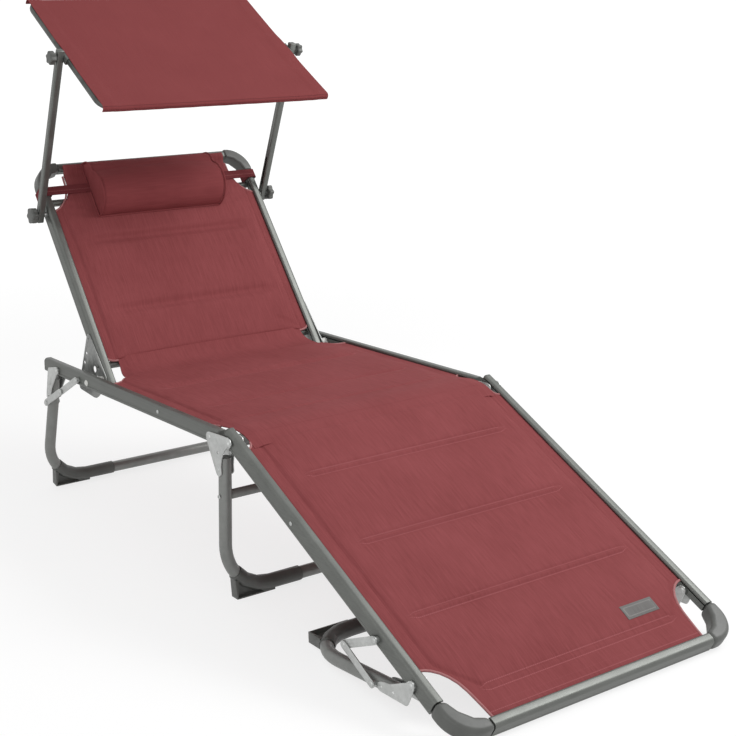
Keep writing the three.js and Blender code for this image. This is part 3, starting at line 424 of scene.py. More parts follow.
def bent_tube(name, radius, x, top, floor, half, bend, place, steps=14, facets=28):
    """A U of tube: down one side, round the bend, along the bar and up again."""
    bpy.ops.object.select_all(action="DESELECT")
    bpy.ops.mesh.primitive_circle_add(vertices=facets, radius=radius, location=(x, half, top))
    piece = fresh(name)
    bpy.ops.object.transform_apply(location=True)
    bpy.ops.object.mode_set(mode="EDIT")
    bpy.ops.mesh.select_all(action="SELECT")
    push(0, 0, floor + bend - top)
    for center, run in (((x, half - bend, floor + bend), (0, 2 * (bend - half), 0)),
                        ((x, bend - half, floor + bend), (0, 0, top - floor - bend))):
        bpy.ops.mesh.spin(steps=steps, angle=math.pi / 2, center=center, axis=(1, 0, 0))
        push(*run)
    bpy.ops.mesh.select_all(action="SELECT")
    bpy.ops.mesh.remove_doubles(threshold=1e-5)
    bpy.ops.mesh.select_all(action="DESELECT")
    bpy.ops.mesh.select_non_manifold()
    bpy.ops.mesh.edge_face_add()
    return softened(closed(piece, place), 0)


rear = tilted(pivots["rear_leg_fold"], 13.02)
foot_leg = Matrix.Translation(pivots["foot_leg_fold"]) @ Matrix((
    (-0.07931, 0, 0.99685, 0), (0, -1, 0, 0), (0.99685, 0, 0.07931, 0), (0, 0, 0, 1)))
mid = tilted(pivots["middle_fold"], 0)
for name, body, place, x, top, length in (
        ("mid", "mid_leg", mid, mid_leg_at, mid_leg_top, mid_leg_length),
        ("rear", "rear_leg", rear, leg_at, leg_top, leg_length),
        ("foot", "foot_leg", foot_leg, leg_at, leg_top, leg_length)):
    tube = bent_tube(f"{name}_leg_bend", tube_radius, x, top, bar_height - length, rail_middle,
                     tube_bend, place)
    dress(tube, body, leg_metal, "aluminium_frame", f"{name}_leg_tube")
    for label, side in sides:
        finished(f"{name}_leg_boot_{label}", f"{name}_floor_boot_{label}", dark_plastic,
                 "dark_plastic", 0.7 * mm)
        if name != "mid":
            stay_stud(f"{name}_leg_stay_stud_{label}", body, side, x, leg_stud_at, place,
                      leg_stud_inner, rail_middle + tube_radius, leg_link_inner)
finished("mid_leg_crossbar", "mid_leg_brace", leg_metal, "aluminium_frame", 0.3 * mm)

# Foot section. Two side rails and an end rail pushed on the tenons of two moulded corner elbows.
# The elbows rest on the floor; a small screw closes each rail over its tenon.
foot = tilted(pivots["foot_fold"], 26.4367)
foot_rail_head = -20.7 * mm
foot_rail_end = 630.7 * mm
foot_end = 693 * mm
foot_end_half = 261.2 * mm
foot_elbow_leg = 62 * mm
foot_stud_at = 482 * mm
foot_screw_at = 213.7 * mm
seat_screw_at = -194.5 * mm
brace_drop = -109 * mm
brace_face = 336.9 * mm
elbow_proud = 1.2 * mm
elbow_corner = 58 * mm


def end_rail(name, body, x, outward, half, place, node_name):
    outline = [(x + outward * y, -half, z) for y, z in rail_section()]
    rail = softened(extruded(name, outline, (0, 2 * half, 0), place), 0.25 * mm, 1, 35, 60)
    return dress(rail, body, rail_metal, "aluminium_frame", node_name)


def corner_elbow(name, body, side, outward, leg, x, y, place, node_name):
    """A moulded corner round the outside, with two sockets and a hollow-cornered inside."""
    half = rail_half + elbow_proud
    spots = [(leg, half)] + arc(elbow_corner - half, half - elbow_corner, elbow_corner, 90, 180, 16)
    spots += [(-half, -leg), (half, -leg), (leg * 0.32, -leg * 0.62), (leg * 0.62, -leg * 0.34),
              (leg, -half)]
    low = -rail_below - elbow_proud
    outline = [(x - outward * a, side * (y + b), low) for a, b in spots]
    piece = extruded(name, outline, (0, 0, rail_above + rail_below + 2 * elbow_proud), place)
    return dress(softened(piece, 8.5 * mm, 6, 50, 60), body, dark_plastic, "dark_plastic", node_name)


def side_screw(name, body, side, x, face, z, place, radius=3.8 * mm):
    """A pan-head screw with a recess in its head."""
    seat_at, recess_at, crown = face - 0.6 * mm, face + 0.9 * mm, face + 1.8 * mm
    stations = [(seat_at, 0), (seat_at, radius), (recess_at, radius), (crown, 0.72 * radius),
                (crown + 0.1 * mm, 0.42 * radius), (recess_at, 0.3 * radius), (recess_at, 0)]
    spot = place @ Matrix.Translation((x, 0, z)) @ facing(side)
    return dress(turned(name, stations, spot, 20), body, galvanised, "galvanised_steel")


for label, side in sides:
    side_rail(f"foot_extrusion_{label}", "foot_section", side, rail_middle, foot_rail_head,
              foot_rail_end, foot, f"foot_rail_{label}")
    rail_plug(f"foot_head_plug_{label}", "foot_section", side, rail_middle, foot_rail_head, -1, foot)
    stay_stud(f"foot_stay_stud_{label}", "foot_section", side, foot_stud_at, stud_height, foot,
              rail_inner, rail_face, link_inner)
    corner_elbow(f"foot_corner_{label}", "foot_section", side, 1, foot_elbow_leg, foot_end, rail_middle,
                 foot, f"foot_elbow_{label}")
    side_screw(f"foot_rail_screw_{label}", "foot_section", side, foot_screw_at, rail_face, 2 * mm, foot)
    side_screw(f"seat_rail_screw_{label}", "seat", side, seat_screw_at, rail_face, 4 * mm, seat)
    side_screw(f"mid_brace_screw_{label}", "mid_leg", side, mid_leg_at, brace_face, brace_drop, mid,
               4.2 * mm)
end_rail("foot_end_extrusion", "foot_section", foot_end, 1, foot_end_half, foot, "foot_end_rail")

# Back section. Narrower rails of the same extrusion, closed by a top rail and two smaller elbows.
# Two tie bars are screwed between the rails; threaded studs with spacers carry the sunshade arms.
back = tilted(pivots["recline"], 52.2997)
back_middle = 281 * mm
back_rail_head = -476.7 * mm
back_rail_foot = 24 * mm
back_end = -529 * mm
back_end_half = 228.7 * mm
back_elbow_leg = 52 * mm
shade_stud_at = -417 * mm
for label, side in sides:
    side_rail(f"back_extrusion_{label}", "backrest", side, back_middle, back_rail_head, back_rail_foot,
              back, f"back_rail_{label}")
    rail_plug(f"back_foot_plug_{label}", "backrest", side, back_middle, back_rail_foot, 1, back)
    corner_elbow(f"back_corner_{label}", "backrest", side, -1, back_elbow_leg, back_end, back_middle,
                 back, f"back_elbow_{label}")
    stations = [(290.5 * mm, 0), (290.5 * mm, 6 * mm), (297 * mm, 6 * mm), (297 * mm, 3 * mm),
                (324 * mm, 3 * mm), (324 * mm, 0)]
    stud = turned(f"shade_stud_{label}", stations,
                  back @ Matrix.Translation((shade_stud_at, 0, 0)) @ facing(side))
    dress(stud, "backrest", galvanised, "galvanised_steel")
end_rail("back_top_extrusion", "backrest", back_end, -1, back_end_half, back, "back_top_rail")
for node_name in ("back_lower_crossbar", "back_upper_crossbar"):
    finished(node_name, node_name.replace("crossbar", "tie_bar"), rail_metal, "aluminium_frame",
             0.3 * mm)

# Sling. One cover of coated polyester weave over thin foam, welded across in channels, its selvages
# held by keder cords in the grooves of the rails. Cut-outs at joints and corners are bound with tape.
seat_half = 315 * mm
selvage_height = keder_height

woven, given = effect(
    "woven_cloth", ("Vector", "Vector"), ("Seam", "Vector"), ("Deep", "Color", (0.2, 0.04, 0.04, 1)),
    ("Bright", "Color", (0.3, 0.08, 0.09, 1)), ("Thread", "Color", (0.3, 0.08, 0.09, 1)),
    ("Slub", "Float", 1))
warp_pitch = 1.1 * mm
weft_pitch = 1.4 * mm
stitch_row = 6.5 * mm
stitch_half = 0.8 * mm
stitch_pitch = 4.2 * mm


def ripple(across, pitch):
    return maths(woven, "SINE", maths(woven, "MULTIPLY", across, 2 * math.pi / pitch))


def swayed(share, source, gain):
    """Moves a share up and down with a noise that lies about a half."""
    return maths(woven, "MULTIPLY_ADD", maths(woven, "SUBTRACT", source, 0.5), gain, share)


fine = noise(woven, stretched(woven, given["Vector"], (14, 620, 1)), 1, 3)
slub = noise(woven, stretched(woven, given["Vector"], (30, 230, 1)), 1, 2)
faded = noise(woven, given["Vector"], 7, 3)
along, across = node(woven, "ShaderNodeSeparateXYZ", Vector=given["Vector"]).outputs[:2]
weave = maths(woven, "MULTIPLY", ripple(across, warp_pitch), ripple(along, weft_pitch))
run_on, away = node(woven, "ShaderNodeSeparateXYZ", Vector=given["Seam"]).outputs[:2]
from_row = maths(woven, "SUBTRACT", maths(woven, "ABSOLUTE", away), stitch_row)
row = maths(woven, "LESS_THAN", maths(woven, "ABSOLUTE", from_row), stitch_half)
phase = maths(woven, "FRACT", maths(woven, "DIVIDE", run_on, stitch_pitch))
dash = maths(woven, "LESS_THAN", phase, 0.7)
stitch = maths(woven, "MULTIPLY", row, dash)
share = swayed(swayed(swayed(0.5, fine, 1.15), slub, given["Slub"]), faded, 0.7)
share = maths(woven, "MULTIPLY_ADD", weave, 0.16, share)
colour = toned(woven, stitch, toned(woven, share, given["Deep"], given["Bright"]), given["Thread"])
relief = maths(woven, "MULTIPLY_ADD", stitch, 1.6, maths(woven, "MULTIPLY_ADD", weave, 0.5, fine))
raised = node(woven, "ShaderNodeBump", Strength=0.35, Distance=0.0005, Height=relief)
give_back(woven, colour, maths(woven, "MULTIPLY_ADD", fine, 0.14, 0.76), raised.outputs[0])


def cloth(name, deep, bright, thread, slub_share=0.6):
    return shaded(name, woven, {"Vector": "weave", "Seam": "seam"}, {"Specular IOR Level": 0.12},
                  Deep=(*deep, 1), Bright=(*bright, 1), Thread=(*thread, 1), Slub=slub_share)


sling_cloth = cloth("sling_weave", (0.2, 0.044, 0.046), (0.31, 0.08, 0.085), (0.36, 0.11, 0.118))
tape = cloth("bound_edge", (0.36, 0.13, 0.135), (0.5, 0.24, 0.24), (0.5, 0.24, 0.24), 0.4)


def ease(value, low, high):
    share = min(max((value - low) / (high - low), 0), 1)
    return share * share * (3 - 2 * share)


def write_maps(piece, weave_spots, seam_spots):
    """Writes the two cloth maps from a place per vertex, in metres along and across the cloth."""
    for title, spots in (("weave", weave_spots), ("seam", seam_spots)):
        layer = piece.data.uv_layers.get(title) or piece.data.uv_layers.new(name=title)
        for loop in piece.data.loops:
            layer.data[loop.index].uv = spots[loop.vertex_index]


def mapped(piece, weave_of, seam_of):
    places = [vertex.co for vertex in piece.data.vertices]
    write_maps(piece, [weave_of(spot) for spot in places], [seam_of(spot) for spot in places])


def puffed(piece, held, cap, pressure=4.0):
    """Lets air pressure fill a cover for twenty frames. Held points stay, and none passes the cap."""
    before = [vertex.co.copy() for vertex in piece.data.vertices]
    pins = piece.vertex_groups.new(name="pins")
    pins.add([v.index for v in piece.data.vertices if held(v.co)], 1.0, "REPLACE")
    bpy.ops.object.modifier_add(type="CLOTH")
    simulation = piece.modifiers[-1]
    simulation.settings.use_pressure = True
    simulation.settings.uniform_pressure_force = pressure
    simulation.settings.vertex_group_mass = "pins"
    simulation.settings.effector_weights.gravity = 0
    simulation.point_cache.frame_start = 1
    simulation.point_cache.frame_end = 20
    for moment in range(1, 21):
        bpy.context.scene.frame_set(moment)
    bpy.ops.object.modifier_apply(modifier=simulation.name)
    bpy.context.scene.frame_set(1)
    for vertex, start in zip(piece.data.vertices, before):
        move = vertex.co - start
        if move.length > cap:
            vertex.co = start + move * (cap / move.length)
    piece.vertex_groups.clear()


def quilted(name, outline, body, node_name, place, padding, seams, dents, offset, size,
            lifted=lambda x: 0, hem=2):
    """A sling panel, with stitched tunnels (x, half length, height) and soft dents (x, half, depth)."""
    piece = extruded(name, [(x, y, 5 * mm) for x, y in outline], (0, 0, 10.5 * mm), Matrix.Identity(4))
    modified(piece, "REMESH", mode="VOXEL", voxel_size=size)
    for vertex in piece.data.vertices:
        share = padding(vertex.co.x, vertex.co.y)
        middle = selvage_height + 0.75 * mm * share
        vertex.co.z = middle + (vertex.co.z - 10.25 * mm) * (0.2 + 0.72 * share)

    def held(spot):
        if padding(spot.x, spot.y) < 0.6:
            return True
        return any(abs(spot.x - x) < 9 * mm and abs(spot.y) < half for x, half, depth in seams + dents)

    puffed(piece, held, 2.6 * mm)
    modified(piece, "SUBSURF", levels=1, render_levels=1)
    for vertex in piece.data.vertices:
        x, y, z = vertex.co
        up = 1 if z > 10 * mm else -0.4
        for at, half, height in seams:
            reach = abs(x - at)
            if reach < 26 * mm:
                weight = 1 - ease(abs(y), half - 22 * mm, half)
                tunnel = math.exp(-(reach / (4.6 * mm)) ** 2)
                row = math.exp(-((reach - 6.5 * mm) / (2.6 * mm)) ** 2)
                z += up * weight * height * (tunnel - 0.75 * row)
        for at, half, depth in dents:
            reach = abs(x - at) / (10 * mm)
            if reach < 4:
                z -= up * depth * (1 - ease(abs(y), half - 40 * mm, half)) * math.exp(-reach ** 2)
        step = padding(x, y)
        z -= up * 2.6 * mm * max(0, 1 - abs(step - 0.35) / 0.35) if step > 0 else 0
        vertex.co.z = min(max(z, 4 * mm), 18 * mm) + lifted(x)

    def seam_place(spot):
        if spot.x > hem - 20 * mm:
            return spot.y, spot.x - hem
        if not seams:
            return spot.y, 0.1
        at, half, height = min(seams, key=lambda seam: abs(spot.x - seam[0]))
        narrow = 1 - 0.7 * ease(abs(spot.y), half - 22 * mm, half - 2 * mm)
        return spot.y, (spot.x - at) / narrow if abs(spot.y) < half - 2 * mm else 0.1

    mapped(piece, lambda spot: (spot.x + offset, spot.y), seam_place)
    bpy.ops.object.shade_smooth()
    settle(piece, place)
    dress(piece, body, sling_cloth, "sling_fabric", node_name)
    return piece


def sides_of(spots):
    return spots + [(x, -y) for x, y in reversed(spots)]


def strip_padding(edge):
    return lambda x, y: 1 - ease(abs(y), edge - 14 * mm, edge)


notch = 16 * mm
notch_middle = seat_half + 2 * mm
seat_edge = ([(-448 * mm, 262 * mm), (-441 * mm, 272 * mm), (-428 * mm, 283 * mm),
              (-421 * mm, 296 * mm), (-419 * mm, seat_half)]
             + arc(-notch, notch_middle, notch, 180, 270, 10))
foot_edge = (arc(notch, notch_middle, notch, 270, 360, 10)
             + [(566 * mm, seat_half), (568 * mm, 304 * mm), (573 * mm, 293 * mm), (582 * mm, 281 * mm),
                (594 * mm, 271 * mm), (609 * mm, 263 * mm), (627 * mm, 258 * mm), (646 * mm, 255 * mm),
                (664 * mm, 252.5 * mm), (685 * mm, 250 * mm)])
back_edge = [(-36 * mm, 246 * mm), (-36.5 * mm, 254 * mm), (-38 * mm, 262 * mm), (-41 * mm, 268 * mm),
             (-45 * mm, 272.4 * mm), (-417 * mm, 272.4 * mm), (-424 * mm, 258 * mm),
             (-434 * mm, 245 * mm), (-448 * mm, 234 * mm), (-464 * mm, 227 * mm),
             (-482 * mm, 224 * mm), (-505 * mm, 223 * mm), (-531 * mm, 223 * mm)]
quilted(
    "seat_sling", sides_of(seat_edge), "seat", "seat_pad", seat, strip_padding(292 * mm),
    ((-306 * mm, 262 * mm, 2.2 * mm), (-134 * mm, 262 * mm, 2.2 * mm)), (), 0, 6 * mm)
foot_sling = quilted(
    "foot_sling", sides_of(foot_edge), "foot_section", "foot_pad", foot,
    lambda x, y: (1 - ease(abs(y), 276 * mm, 292 * mm)) * (1 - ease(x, 620 * mm, 634 * mm))
    * (1 - ease(abs(y) + 0.9 * x, 782 * mm, 802 * mm)),
    ((126 * mm, 252 * mm, 3.2 * mm), (300 * mm, 253 * mm, 3.2 * mm), (470 * mm, 266 * mm, 3.2 * mm),
     (632 * mm, 238 * mm, 1.2 * mm)), (), 62 * mm, 6 * mm, hem=681 * mm)
quilted(
    "back_sling", sides_of(back_edge), "backrest", "back_pad", back, strip_padding(256 * mm),
    (), ((-332 * mm, 226 * mm, 6 * mm), (-155 * mm, 230 * mm, 6 * mm)), -520 * mm, 5 * mm,
    lambda x: 8.5 * mm * ease(-x, 506 * mm, 520 * mm))


def tube_along(name, spots, radius, place, facets=3):
    route = bpy.data.curves.new(name, "CURVE")
    route.dimensions = "3D"
    line = route.splines.new("POLY")
    line.points.add(len(spots) - 1)
    for point, spot in zip(line.points, spots):
        point.co = (*spot, 1)
    route.bevel_depth = radius
    route.bevel_resolution = facets
    route.use_fill_caps = True
    piece = bpy.data.objects.new(name, route)
    bpy.context.scene.collection.objects.link(piece)
    chosen(piece)
    bpy.ops.object.convert(target="MESH")
    piece = bpy.context.object
    settle(piece, place)
    bpy.ops.object.shade_smooth_by_angle(angle=math.radians(50))
    return piece


def binding(name, edge, side, body, place):
    spots = [(x, side * y, selvage_height) for x, y in edge if x > -516 * mm]
    piece = tube_along(name, spots, 2.4 * mm, place)
    mapped(piece, lambda spot: (spot.x, spot.y), lambda spot: (spot.x, 1))
    return dress(piece, body, tape, "sling_fabric")


for label, side in sides:
    binding(f"seat_rear_binding_{label}", seat_edge[:5], side, "seat", seat)
    binding(f"seat_front_binding_{label}", seat_edge[5:], side, "seat", seat)
    binding(f"foot_head_binding_{label}", foot_edge[:11], side, "foot_section", foot)
    binding(f"foot_corner_binding_{label}", foot_edge[11:], side, "foot_section", foot)
    binding(f"back_pivot_binding_{label}", back_edge[:5], side, "backrest", back)
    binding(f"back_corner_binding_{label}", back_edge[5:], side, "backrest", back)


def grid(name, columns, rows, size=2):
    bpy.ops.object.select_all(action="DESELECT")
    bpy.ops.mesh.primitive_grid_add(x_subdivisions=columns, y_subdivisions=rows, size=size)
    return fresh(name)


def bridge(name, start, start_way, end, end_way, halves, offset, steps=18):
    """The cover between two panels, a thick strip on a smooth curve from start to end."""
    start, end = Vector(start), Vector(end)
    reach = (end - start).length
    first, last = Vector(start_way) * reach * 0.45, Vector(end_way) * reach * 0.45
    piece = grid(name, steps, 72)
    thick = piece.vertex_groups.new(name="thick")
    along = {}
    for vertex in piece.data.vertices:
        share, across = (vertex.co.x + 1) / 2, vertex.co.y
        a, b, c, d = ((1 - share) ** 3, 3 * share * (1 - share) ** 2, 3 * share ** 2 * (1 - share),
                      share ** 3)
        spot = start * a + (start + first) * b + (end - last) * c + end * d
        way = (first * (1 - share) ** 2 + (end - last - start - first) * 2 * share * (1 - share)
               + last * share ** 2).normalized()
        normal = Vector((-way.z, 0, way.x))
        if normal.z < 0:
            normal = -normal
        half = halves[0] + (halves[1] - halves[0]) * ease(share, 0, 1)
        y = across * half
        full = 1 - ease(abs(y), half - 20 * mm, half - 8 * mm)
        spot = spot + normal * (1.3 + 4.2 * full) * mm
        vertex.co = (spot.x, y, spot.z)
        thick.add([vertex.index], 0.22 + 0.78 * full, "REPLACE")
        along[vertex.index] = share * reach
    vertices = piece.data.vertices
    write_maps(piece, [(along[v.index] + offset, v.co.y) for v in vertices],
               [(v.co.y, 1) for v in vertices])
    if end.x < start.x:
        piece.data.flip_normals()
    modified(piece, "SOLIDIFY", thickness=9.6 * mm, offset=-1, vertex_group="thick")
    piece.vertex_groups.clear()
    bpy.ops.object.shade_smooth_by_angle(angle=math.radians(60))
    piece.data.materials.clear()
    piece.data.materials.append(sling_cloth)
    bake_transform(piece)
    return piece


def on(place, x, z):
    spot = place @ Vector((x, 0, z))
    return Vector((spot.x, 0, spot.z))


seat_way, foot_way, back_way = (place.to_3x3() @ Vector((1, 0, 0)) for place in (seat, foot, back))
seat_front, seat_rear = on(seat, -26 * mm, 10 * mm), on(seat, -448 * mm, 10 * mm)
foot_head, back_foot = on(foot, 26 * mm, 10 * mm), on(back, -36 * mm, 10 * mm)
hinge_cloth = on(mid, 61 * mm, 12.6 * mm)
hinge_way = (seat_way + foot_way).normalized()
lap = 8 * mm
bridge("knee_sling_seat_side", seat_front - seat_way * lap, seat_way,
       hinge_cloth + hinge_way * lap / 2, hinge_way, (301 * mm, 301 * mm),
       -34 * mm)
bridge("knee_sling_foot_side", hinge_cloth - hinge_way * lap / 2, hinge_way,
       foot_head + foot_way * lap, foot_way, (301 * mm, 301 * mm),
       57 * mm, 12)
bridge("recline_sling", seat_rear + seat_way * lap, -seat_way, back_foot - back_way * lap, -back_way,
       (262 * mm, 246 * mm), -540 * mm)

# Maker's patch place. A bare woven tab with turned edges, stitched flat near the foot corner.
tab_cloth = cloth("tab_weave", (0.13, 0.125, 0.12), (0.25, 0.245, 0.24), (0.3, 0.29, 0.28), 0.3)


def cloth_height(sling, place, x, y):
    way = place.to_3x3() @ Vector((0, 0, -1))
    found, spot, normal, index = sling.ray_cast(place @ Vector((x, y, 60 * mm)), way)
    return (place.inverted() @ spot).z if found else 15 * mm


tab_x, tab_y = 596 * mm, 170.5 * mm
tab_length, tab_width = 28 * mm, 79 * mm
tab = grid("plain_tab", 10, 26, 1)
for vertex in tab.data.vertices:
    x, y = tab_x + vertex.co.x * tab_length, tab_y + vertex.co.y * tab_width
    vertex.co = (x, y, cloth_height(foot_sling, foot, x, y) + 0.9 * mm)
modified(tab, "SOLIDIFY", thickness=1 * mm)
softened(tab, 0.3 * mm, 2)
mapped(tab, lambda spot: (spot.x * 2.2, spot.y * 2.2),
       lambda spot: (spot.y, 1.2 * mm + min(tab_length / 2 - abs(spot.x - tab_x),
                                            tab_width / 2 - abs(spot.y - tab_y))))
settle(tab, foot)
dress(tab, "foot_section", tab_cloth, "sling_fabric")

# Pillow. A half-round bolster with flat end panels and piped seams, filled with polyester.
# Two flat webbing straps sewn in its ends loop round the back rails.
pillow_half = 168 * mm
pillow_shift = -6 * mm


def bezier(spots, steps):
    points = []
    for i in range(1, steps + 1):
        share = i / steps
        level = [Vector(spot) for spot in spots]
        while len(level) > 1:
            level = [a.lerp(b, share) for a, b in zip(level, level[1:])]
        points.append(tuple(level[0] * mm))
    return points


pillow_base = 17 * mm
pillow_outline = [(-386 * mm, pillow_base), (-528 * mm, pillow_base)]
pillow_outline += bezier([(-528, 17), (-528, 59), (-486, 59)], 10)
pillow_outline += bezier([(-486, 59), (-457, 97), (-386, 85), (-386, 17)], 22)[:-1]
pillow_cloth = cloth(
    "pillow_weave", (0.2, 0.042, 0.045), (0.28, 0.066, 0.07), (0.3, 0.09, 0.095), 0.25)
webbing = cloth("strap_webbing", (0.13, 0.026, 0.03), (0.22, 0.05, 0.055), (0.3, 0.1, 0.1), 0.4)
pillow_middle = -457 * mm
small = [(pillow_middle + (x - pillow_middle) * 0.97, pillow_base + (z - pillow_base) * 0.96)
         for x, z in pillow_outline]
pillow = extruded("pillow_cover", [(x, pillow_shift - pillow_half + 3 * mm, z) for x, z in small],
                  (0, 2 * pillow_half - 6 * mm, 0), Matrix.Identity(4))
modified(pillow, "REMESH", mode="VOXEL", voxel_size=6 * mm)


def pillow_seam(spot):
    if abs(spot.y - pillow_shift) < pillow_half - 8 * mm:
        return False
    return min(math.hypot(spot.x - x, spot.z - z) for x, z in small) < 9 * mm


puffed(pillow, lambda spot: spot.z < 19 * mm or pillow_seam(spot), 7 * mm, 5.0)
modified(pillow, "SUBSURF", levels=1, render_levels=1)
for vertex in pillow.data.vertices:
    vertex.co.z = max(vertex.co.z, 16.7 * mm)
mapped(pillow, lambda spot: (spot.y, spot.x + spot.z), lambda spot: (spot.y, 0.1))
bpy.ops.object.shade_smooth()
settle(pillow, back)
dress(pillow, "backrest", pillow_cloth, "sling_fabric", "pillow")
for label, side in sides:
    ring = [(x, pillow_shift + side * (pillow_half - 3.4 * mm), z) for x, z in small + small[:1]]
    piping = tube_along(f"pillow_piping_{label}", ring, 2 * mm, back)
    mapped(piping, lambda spot: (spot.x, spot.y), lambda spot: (spot.x, 1))
    dress(piping, "backrest", pillow_cloth, "sling_fabric")
seam_line = [(-388 * mm, pillow_shift + y * mm, 19 * mm) for y in (-164, 0, 164)]
front_seam = tube_along("pillow_front_seam", seam_line, 1.9 * mm, back)
mapped(front_seam, lambda spot: (spot.x, spot.y), lambda spot: (spot.x, 1))
dress(front_seam, "backrest", pillow_cloth, "sling_fabric")

strap_middle = -465.5 * mm


def strap_path(side):
    near, far, low, high = 268.8 * mm, 293.2 * mm, -14.8 * mm, 18.8 * mm
    points = [(150 * mm, 20 * mm), (200 * mm, 19.4 * mm), (near - 8 * mm, high)]
    points += arc(far - 4 * mm, high - 4 * mm, 4 * mm, 90, 0, 6)
    points += arc(far - 4 * mm, low + 4 * mm, 4 * mm, 0, -90, 6)
    points += arc(near + 4 * mm, low + 4 * mm, 4 * mm, 270, 180, 6) + [(near, high - 3 * mm)]
    return [(side * y, z) for y, z in points]

def lengths_along(path):
    """The length run so far at each point of a path."""
    lengths = [0]
    for (a, b), (c, d) in zip(path, path[1:]):
        lengths.append(lengths[-1] + math.hypot(c - a, d - b))
    return lengths


for label, side in sides:
    path = strap_path(side)
    lengths = lengths_along(path)
    strap = grid(f"pillow_strap_{label}", 4, len(path) - 1)
    vertices = strap.data.vertices
    rows = [round((vertex.co.y + 1) / 2 * (len(path) - 1)) for vertex in vertices]
    for vertex, index in zip(vertices, rows):
        vertex.co = (strap_middle + vertex.co.x * 11 * mm, *path[index])
    write_maps(strap, [(lengths[row], vertex.co.x * 2) for row, vertex in zip(rows, vertices)],
               [(lengths[row], vertex.co.x + 457.5 * mm) for row, vertex in zip(rows, vertices)])
    modified(strap, "SOLIDIFY", thickness=1.3 * mm, offset=0)
    softened(strap, 0, 1, 60)
    settle(strap, back)
    dress(strap, "backrest", webbing, "sling_fabric")

# Sunshade arms and bows. Slotted square tubes clamp on the back rails with star knobs; the two round
# bows slide into moulded joint blocks at the top of the arms and hold the cloth between them.
shade = tilted(pivots["shade_tilt"], 32.2003)
bow_metal = metal("bow_tube", (0.06, 0.065, 0.06), (0.13, 0.135, 0.125), 0.4, 0.7, (60, 60, 60))
bow_half = 288.5 * mm
bow_rear = -206.5 * mm
bow_front = 183.5 * mm
bow_bend = 30 * mm
for end, label in ((bow_rear, "rear"), (bow_front, "front")):
    way = math.copysign(1, end)
    half = [(way * 6.3 * mm, bow_half)]
    for i in range(9):
        angle = math.pi / 2 * i / 8
        half.append((end - way * bow_bend * (1 - math.sin(angle)),
                     bow_half - bow_bend * (1 - math.cos(angle))))
    spots = [(x, y, 0) for x, y in half + [(x, -y) for x, y in reversed(half)]]
    dress(tube_along(f"shade_bow_{label}", spots, 6.5 * mm, shade, 6), "canopy", bow_metal,
          "aluminium_frame", f"canopy_{label}_bow")
for label, side in sides:
    finished(f"canopy_arm_{label}", f"shade_arm_{label}", rail_metal, "aluminium_frame", 0.3 * mm)
    finished(f"canopy_joint_{label}", f"shade_joint_{label}", dark_plastic, "dark_plastic", 0.4 * mm)


def star_knob(name, side, radius, place, body, node_name):
    """Six soft lobes on a boss, with a blind bore for the stud."""
    base = 312.6 * mm
    rim = []
    for i in range(96):
        angle = 2 * math.pi * i / 96
        dip = 1 - 0.1 * (1 - math.cos(6 * angle))
        rim.append((radius * dip * math.cos(angle), side * (base + 4 * mm),
                    radius * dip * math.sin(angle)))
    knob = softened(extruded(name, rim, (0, side * 14 * mm, 0), Matrix.Identity(4)), 3 * mm, 4, 50, 60)
    collar = turned(f"{name}_collar", [(base, 0), (base, 7 * mm), (base + 4.6 * mm, 7.6 * mm),
                    (base + 4.6 * mm, 0)], facing(side))
    bore = turned(f"{name}_bore", [(base - 6 * mm, 0), (base - 6 * mm, 3.3 * mm),
                  (base + 12.4 * mm, 3.3 * mm), (base + 12.4 * mm, 0)], facing(side))
    chosen(knob)
    for tool, operation in ((collar, "UNION"), (bore, "DIFFERENCE")):
        modified(knob, "BOOLEAN", object=tool, operation=operation)
        bpy.data.objects.remove(tool)
    bpy.ops.object.shade_smooth_by_angle(angle=math.radians(40))
    settle(knob, place)
    return dress(knob, body, dark_plastic, "dark_plastic", node_name)


for label, side in sides:
    star_knob(f"shade_swing_knob_{label}", side, 19 * mm, tilted(pivots["shade_swing"], 52.2997),
              f"lower_knob_{label}", f"lower_knob_{label}")
    star_knob(f"shade_tilt_knob_{label}", side, 15 * mm, tilted(pivots["shade_tilt"], 18.6998),
              f"upper_knob_{label}", f"upper_knob_{label}")

# Sunshade cloth. One sheet of close woven polyester; its front and rear edges are turned round the
# bows and lockstitched into sleeves, and it is stretched between them with a slight sag.
shade_cloth = cloth(
    "shade_weave", (0.205, 0.043, 0.045), (0.25, 0.058, 0.06), (0.13, 0.03, 0.033), 0.25)
sleeve = 8.1 * mm
shade_edge = 291 * mm


def shade_profile():
    """The sheet's path from hem to hem in X and Z."""
    points = [(-182 * mm, 6.9 * mm), (-190 * mm, 0.5 * mm)]
    points += arc(bow_rear, 0, sleeve, -50, -270, 22)
    for i in range(1, 40):
        share = i / 40
        points.append((bow_rear + (bow_front - bow_rear) * share,
                       sleeve - 2.6 * mm * math.sin(math.pi * share)))
    points += arc(bow_front, 0, sleeve, 90, -130, 22)
    return points + [(167 * mm, 0.5 * mm), (159 * mm, 6.9 * mm)]


